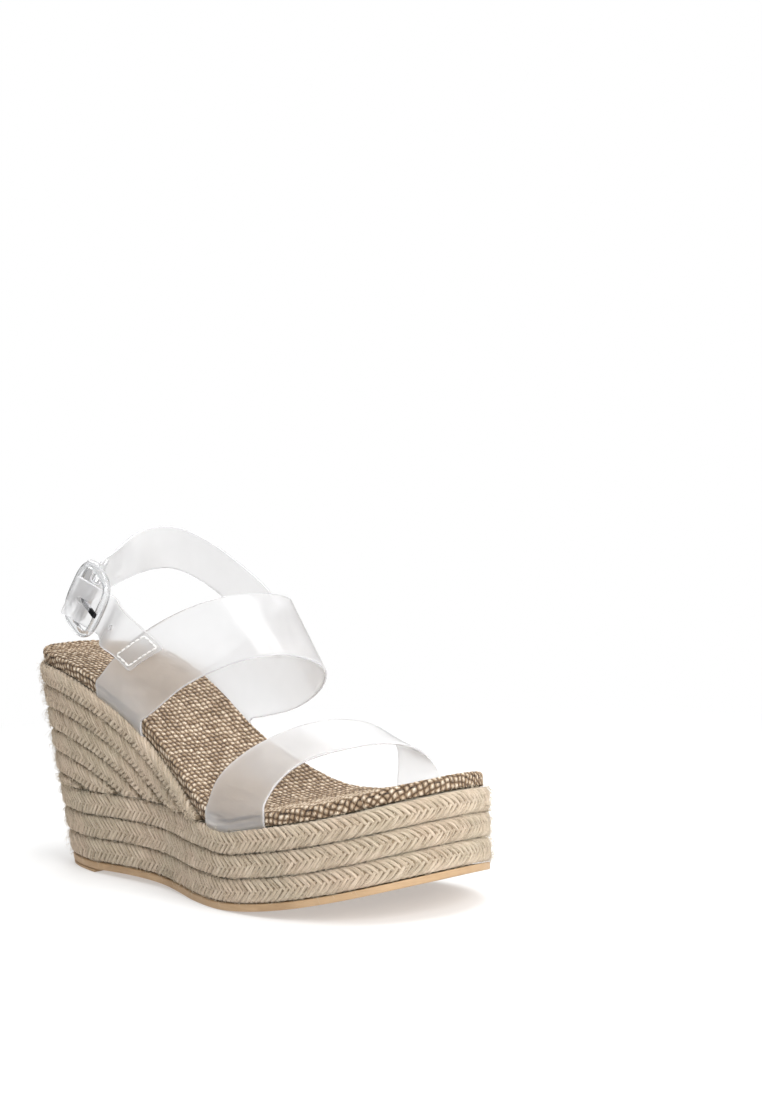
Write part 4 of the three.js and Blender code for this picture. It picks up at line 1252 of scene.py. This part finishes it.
def prong():
    """The CAD prong with its edges rounded over."""
    mesh = frame["nodes"]["buckle_prong"].data.copy()
    piece = bpy.data.objects.new("nickel_prong", mesh)
    bpy.context.scene.collection.objects.link(piece)
    for kind, settings in (
            ("WELD", {"merge_threshold": 1e-6}),
            ("DECIMATE", {"decimate_type": "DISSOLVE", "angle_limit": math.radians(2)}),
            ("BEVEL", {"width": 0.00028, "segments": 3, "limit_method": "ANGLE",
                       "angle_limit": math.radians(40)}),
            ("TRIANGULATE", {})):
        change = piece.modifiers.new(kind.lower(), kind)
        for key, value in settings.items():
            setattr(change, key, value)
    apply_modifiers(piece)
    piece.data.materials.clear()
    piece.data.materials.append(NICKEL)
    co = np.empty(len(piece.data.vertices) * 3, np.float32)
    piece.data.vertices.foreach_get("co", co)
    reach = (co.reshape(-1, 3) * 1000 - ORIGIN - BAR) @ BUCKLE[0] / PRONG_REACH
    paint(piece, "reach", np.stack([reach, 0 * reach, 0 * reach], -1))
    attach(piece, "prong")
    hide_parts("buckle_prong")


buckle_frame()
prong()

# ---- hidden inner pieces
for node, look in (("wedge_core", FOAM_LOOK), ("footbed_foam", FOAM_LOOK),
                   ("insole_board", BOARD_LOOK), ("shank", SPRING_STEEL)):
    materials = frame["nodes"][node].data.materials
    for i in range(len(materials)):
        materials[i] = look

# ---- stage
FLOOR_SIZE = 30.0
SHOE_MIDDLE = (0.0, 0.0, 0.05)


def stage():
    """The floor. Near the shoe it is a pale grey that takes its shadow, lightened by a painted
    glow.
    """
    mesh = bpy.data.meshes.new("floor")
    angle = 2 * np.pi * np.arange(64) / 64
    ring = np.stack([np.cos(angle), np.sin(angle), angle * 0], -1) * FLOOR_SIZE
    mesh.from_pydata(ring.tolist(), [], [list(range(64))])
    look = Look("floor_look")
    grain = look.noise(look.place(), 0.02, 2.0)
    look.surface(Base_Color=look.ramp(grain, [(0.3, (0.91,) * 3), (0.7, (0.93,) * 3)]),
                 Roughness=0.7)
    # A glow mixed in by distance paints light on the floor: 0.38 of it near the shoe lightens
    # the shadow there, and beyond the shoe the sweep glows pure white.
    away = look.add("VectorMath", {0: look.place()}, operation="LENGTH").outputs["Value"]
    share = look.spread(away, 150.0, 520.0, 0.38, 1.0, interpolation_type="SMOOTHSTEP")
    glow = look.add("Emission", {"Color": WHITE, "Strength": 1.0})
    both = look.add("MixShader", {0: share, 1: look.shader.outputs[0],
                                  2: glow.outputs[0]})
    look.put(look.output.inputs["Surface"], both.outputs[0])
    mesh.materials.append(look.material)
    floor = bpy.data.objects.new("floor", mesh)
    bpy.context.scene.collection.objects.link(floor)


def soft_light(name, place, size, power):
    """A soft box turned to the middle of the shoe."""
    data = bpy.data.lights.new(name, "AREA")
    data.shape = "RECTANGLE"
    data.size, data.size_y = size
    data.energy = power
    lamp = bpy.data.objects.new(name, data)
    lamp.location = place
    ahead = Vector(SHOE_MIDDLE) - Vector(place)
    lamp.rotation_euler = ahead.to_track_quat("-Z", "Y").to_euler()
    bpy.context.scene.collection.objects.link(lamp)


stage()
soft_light("key", (1.5, -0.35, 0.95), (0.9, 0.9), 21)
soft_light("top", (0.35, 0.1, 1.7), (1.2, 0.8), 13)
soft_light("back", (-1.2, 1.0, 1.2), (0.8, 0.8), 8)


def studio():
    """White where the camera looks past the shoe. As a light it is brightest on one side."""
    world = bpy.data.worlds.new("studio")
    bpy.context.scene.world = world
    world.use_nodes = True
    sky = Nodes(world.node_tree)
    soft = sky.tree.nodes["Background"]
    towards = sky.add("VectorMath", {
        0: sky.add("TexCoord").outputs["Generated"], 1: (0.62, 0.22, 0.45),
    }, operation="DOT_PRODUCT").outputs["Value"]
    sky.put(soft.inputs["Color"], WHITE)
    sky.put(soft.inputs["Strength"], sky.spread(towards, -0.6, 0.6, 0.16, 1.05))
    bright = sky.add("Background", {"Color": WHITE, "Strength": 1.0})
    choose = sky.add("MixShader", {0: sky.add("LightPath").outputs["Is Camera Ray"],
                                   1: soft.outputs[0], 2: bright.outputs[0]})
    sky.put(sky.tree.nodes["World Output"].inputs["Surface"], choose.outputs[0])


studio()

# ---- camera
CAMERA_PLACE = Vector((ORIGIN + (1067.84, -825.67, 243.2)) / 1000)
CAMERA_AIM = Vector((ORIGIN + (90.04, 98.04, 128.46)) / 1000)
CAMERA_ROLL = math.radians(-1.99)
CAMERA_LENS = 101.6            # millimetres, for a picture 36 mm tall

camera_data = bpy.data.cameras.new("camera")
camera_data.sensor_fit = "VERTICAL"
camera_data.sensor_height = 36
camera_data.lens = CAMERA_LENS
camera_data.clip_end = 100
camera = bpy.data.objects.new("camera", camera_data)
ahead = (CAMERA_AIM - CAMERA_PLACE).normalized()
level = ahead.cross(Vector((0, 0, 1))).normalized()
axes = Matrix((level, level.cross(ahead), -ahead)).transposed().to_4x4()
camera.matrix_world = (Matrix.Translation(CAMERA_PLACE) @ axes
                       @ Matrix.Rotation(CAMERA_ROLL, 4, "Z"))
bpy.context.scene.collection.objects.link(camera)
bpy.context.scene.camera = camera

bpy.context.scene.view_settings.view_transform = "Standard"
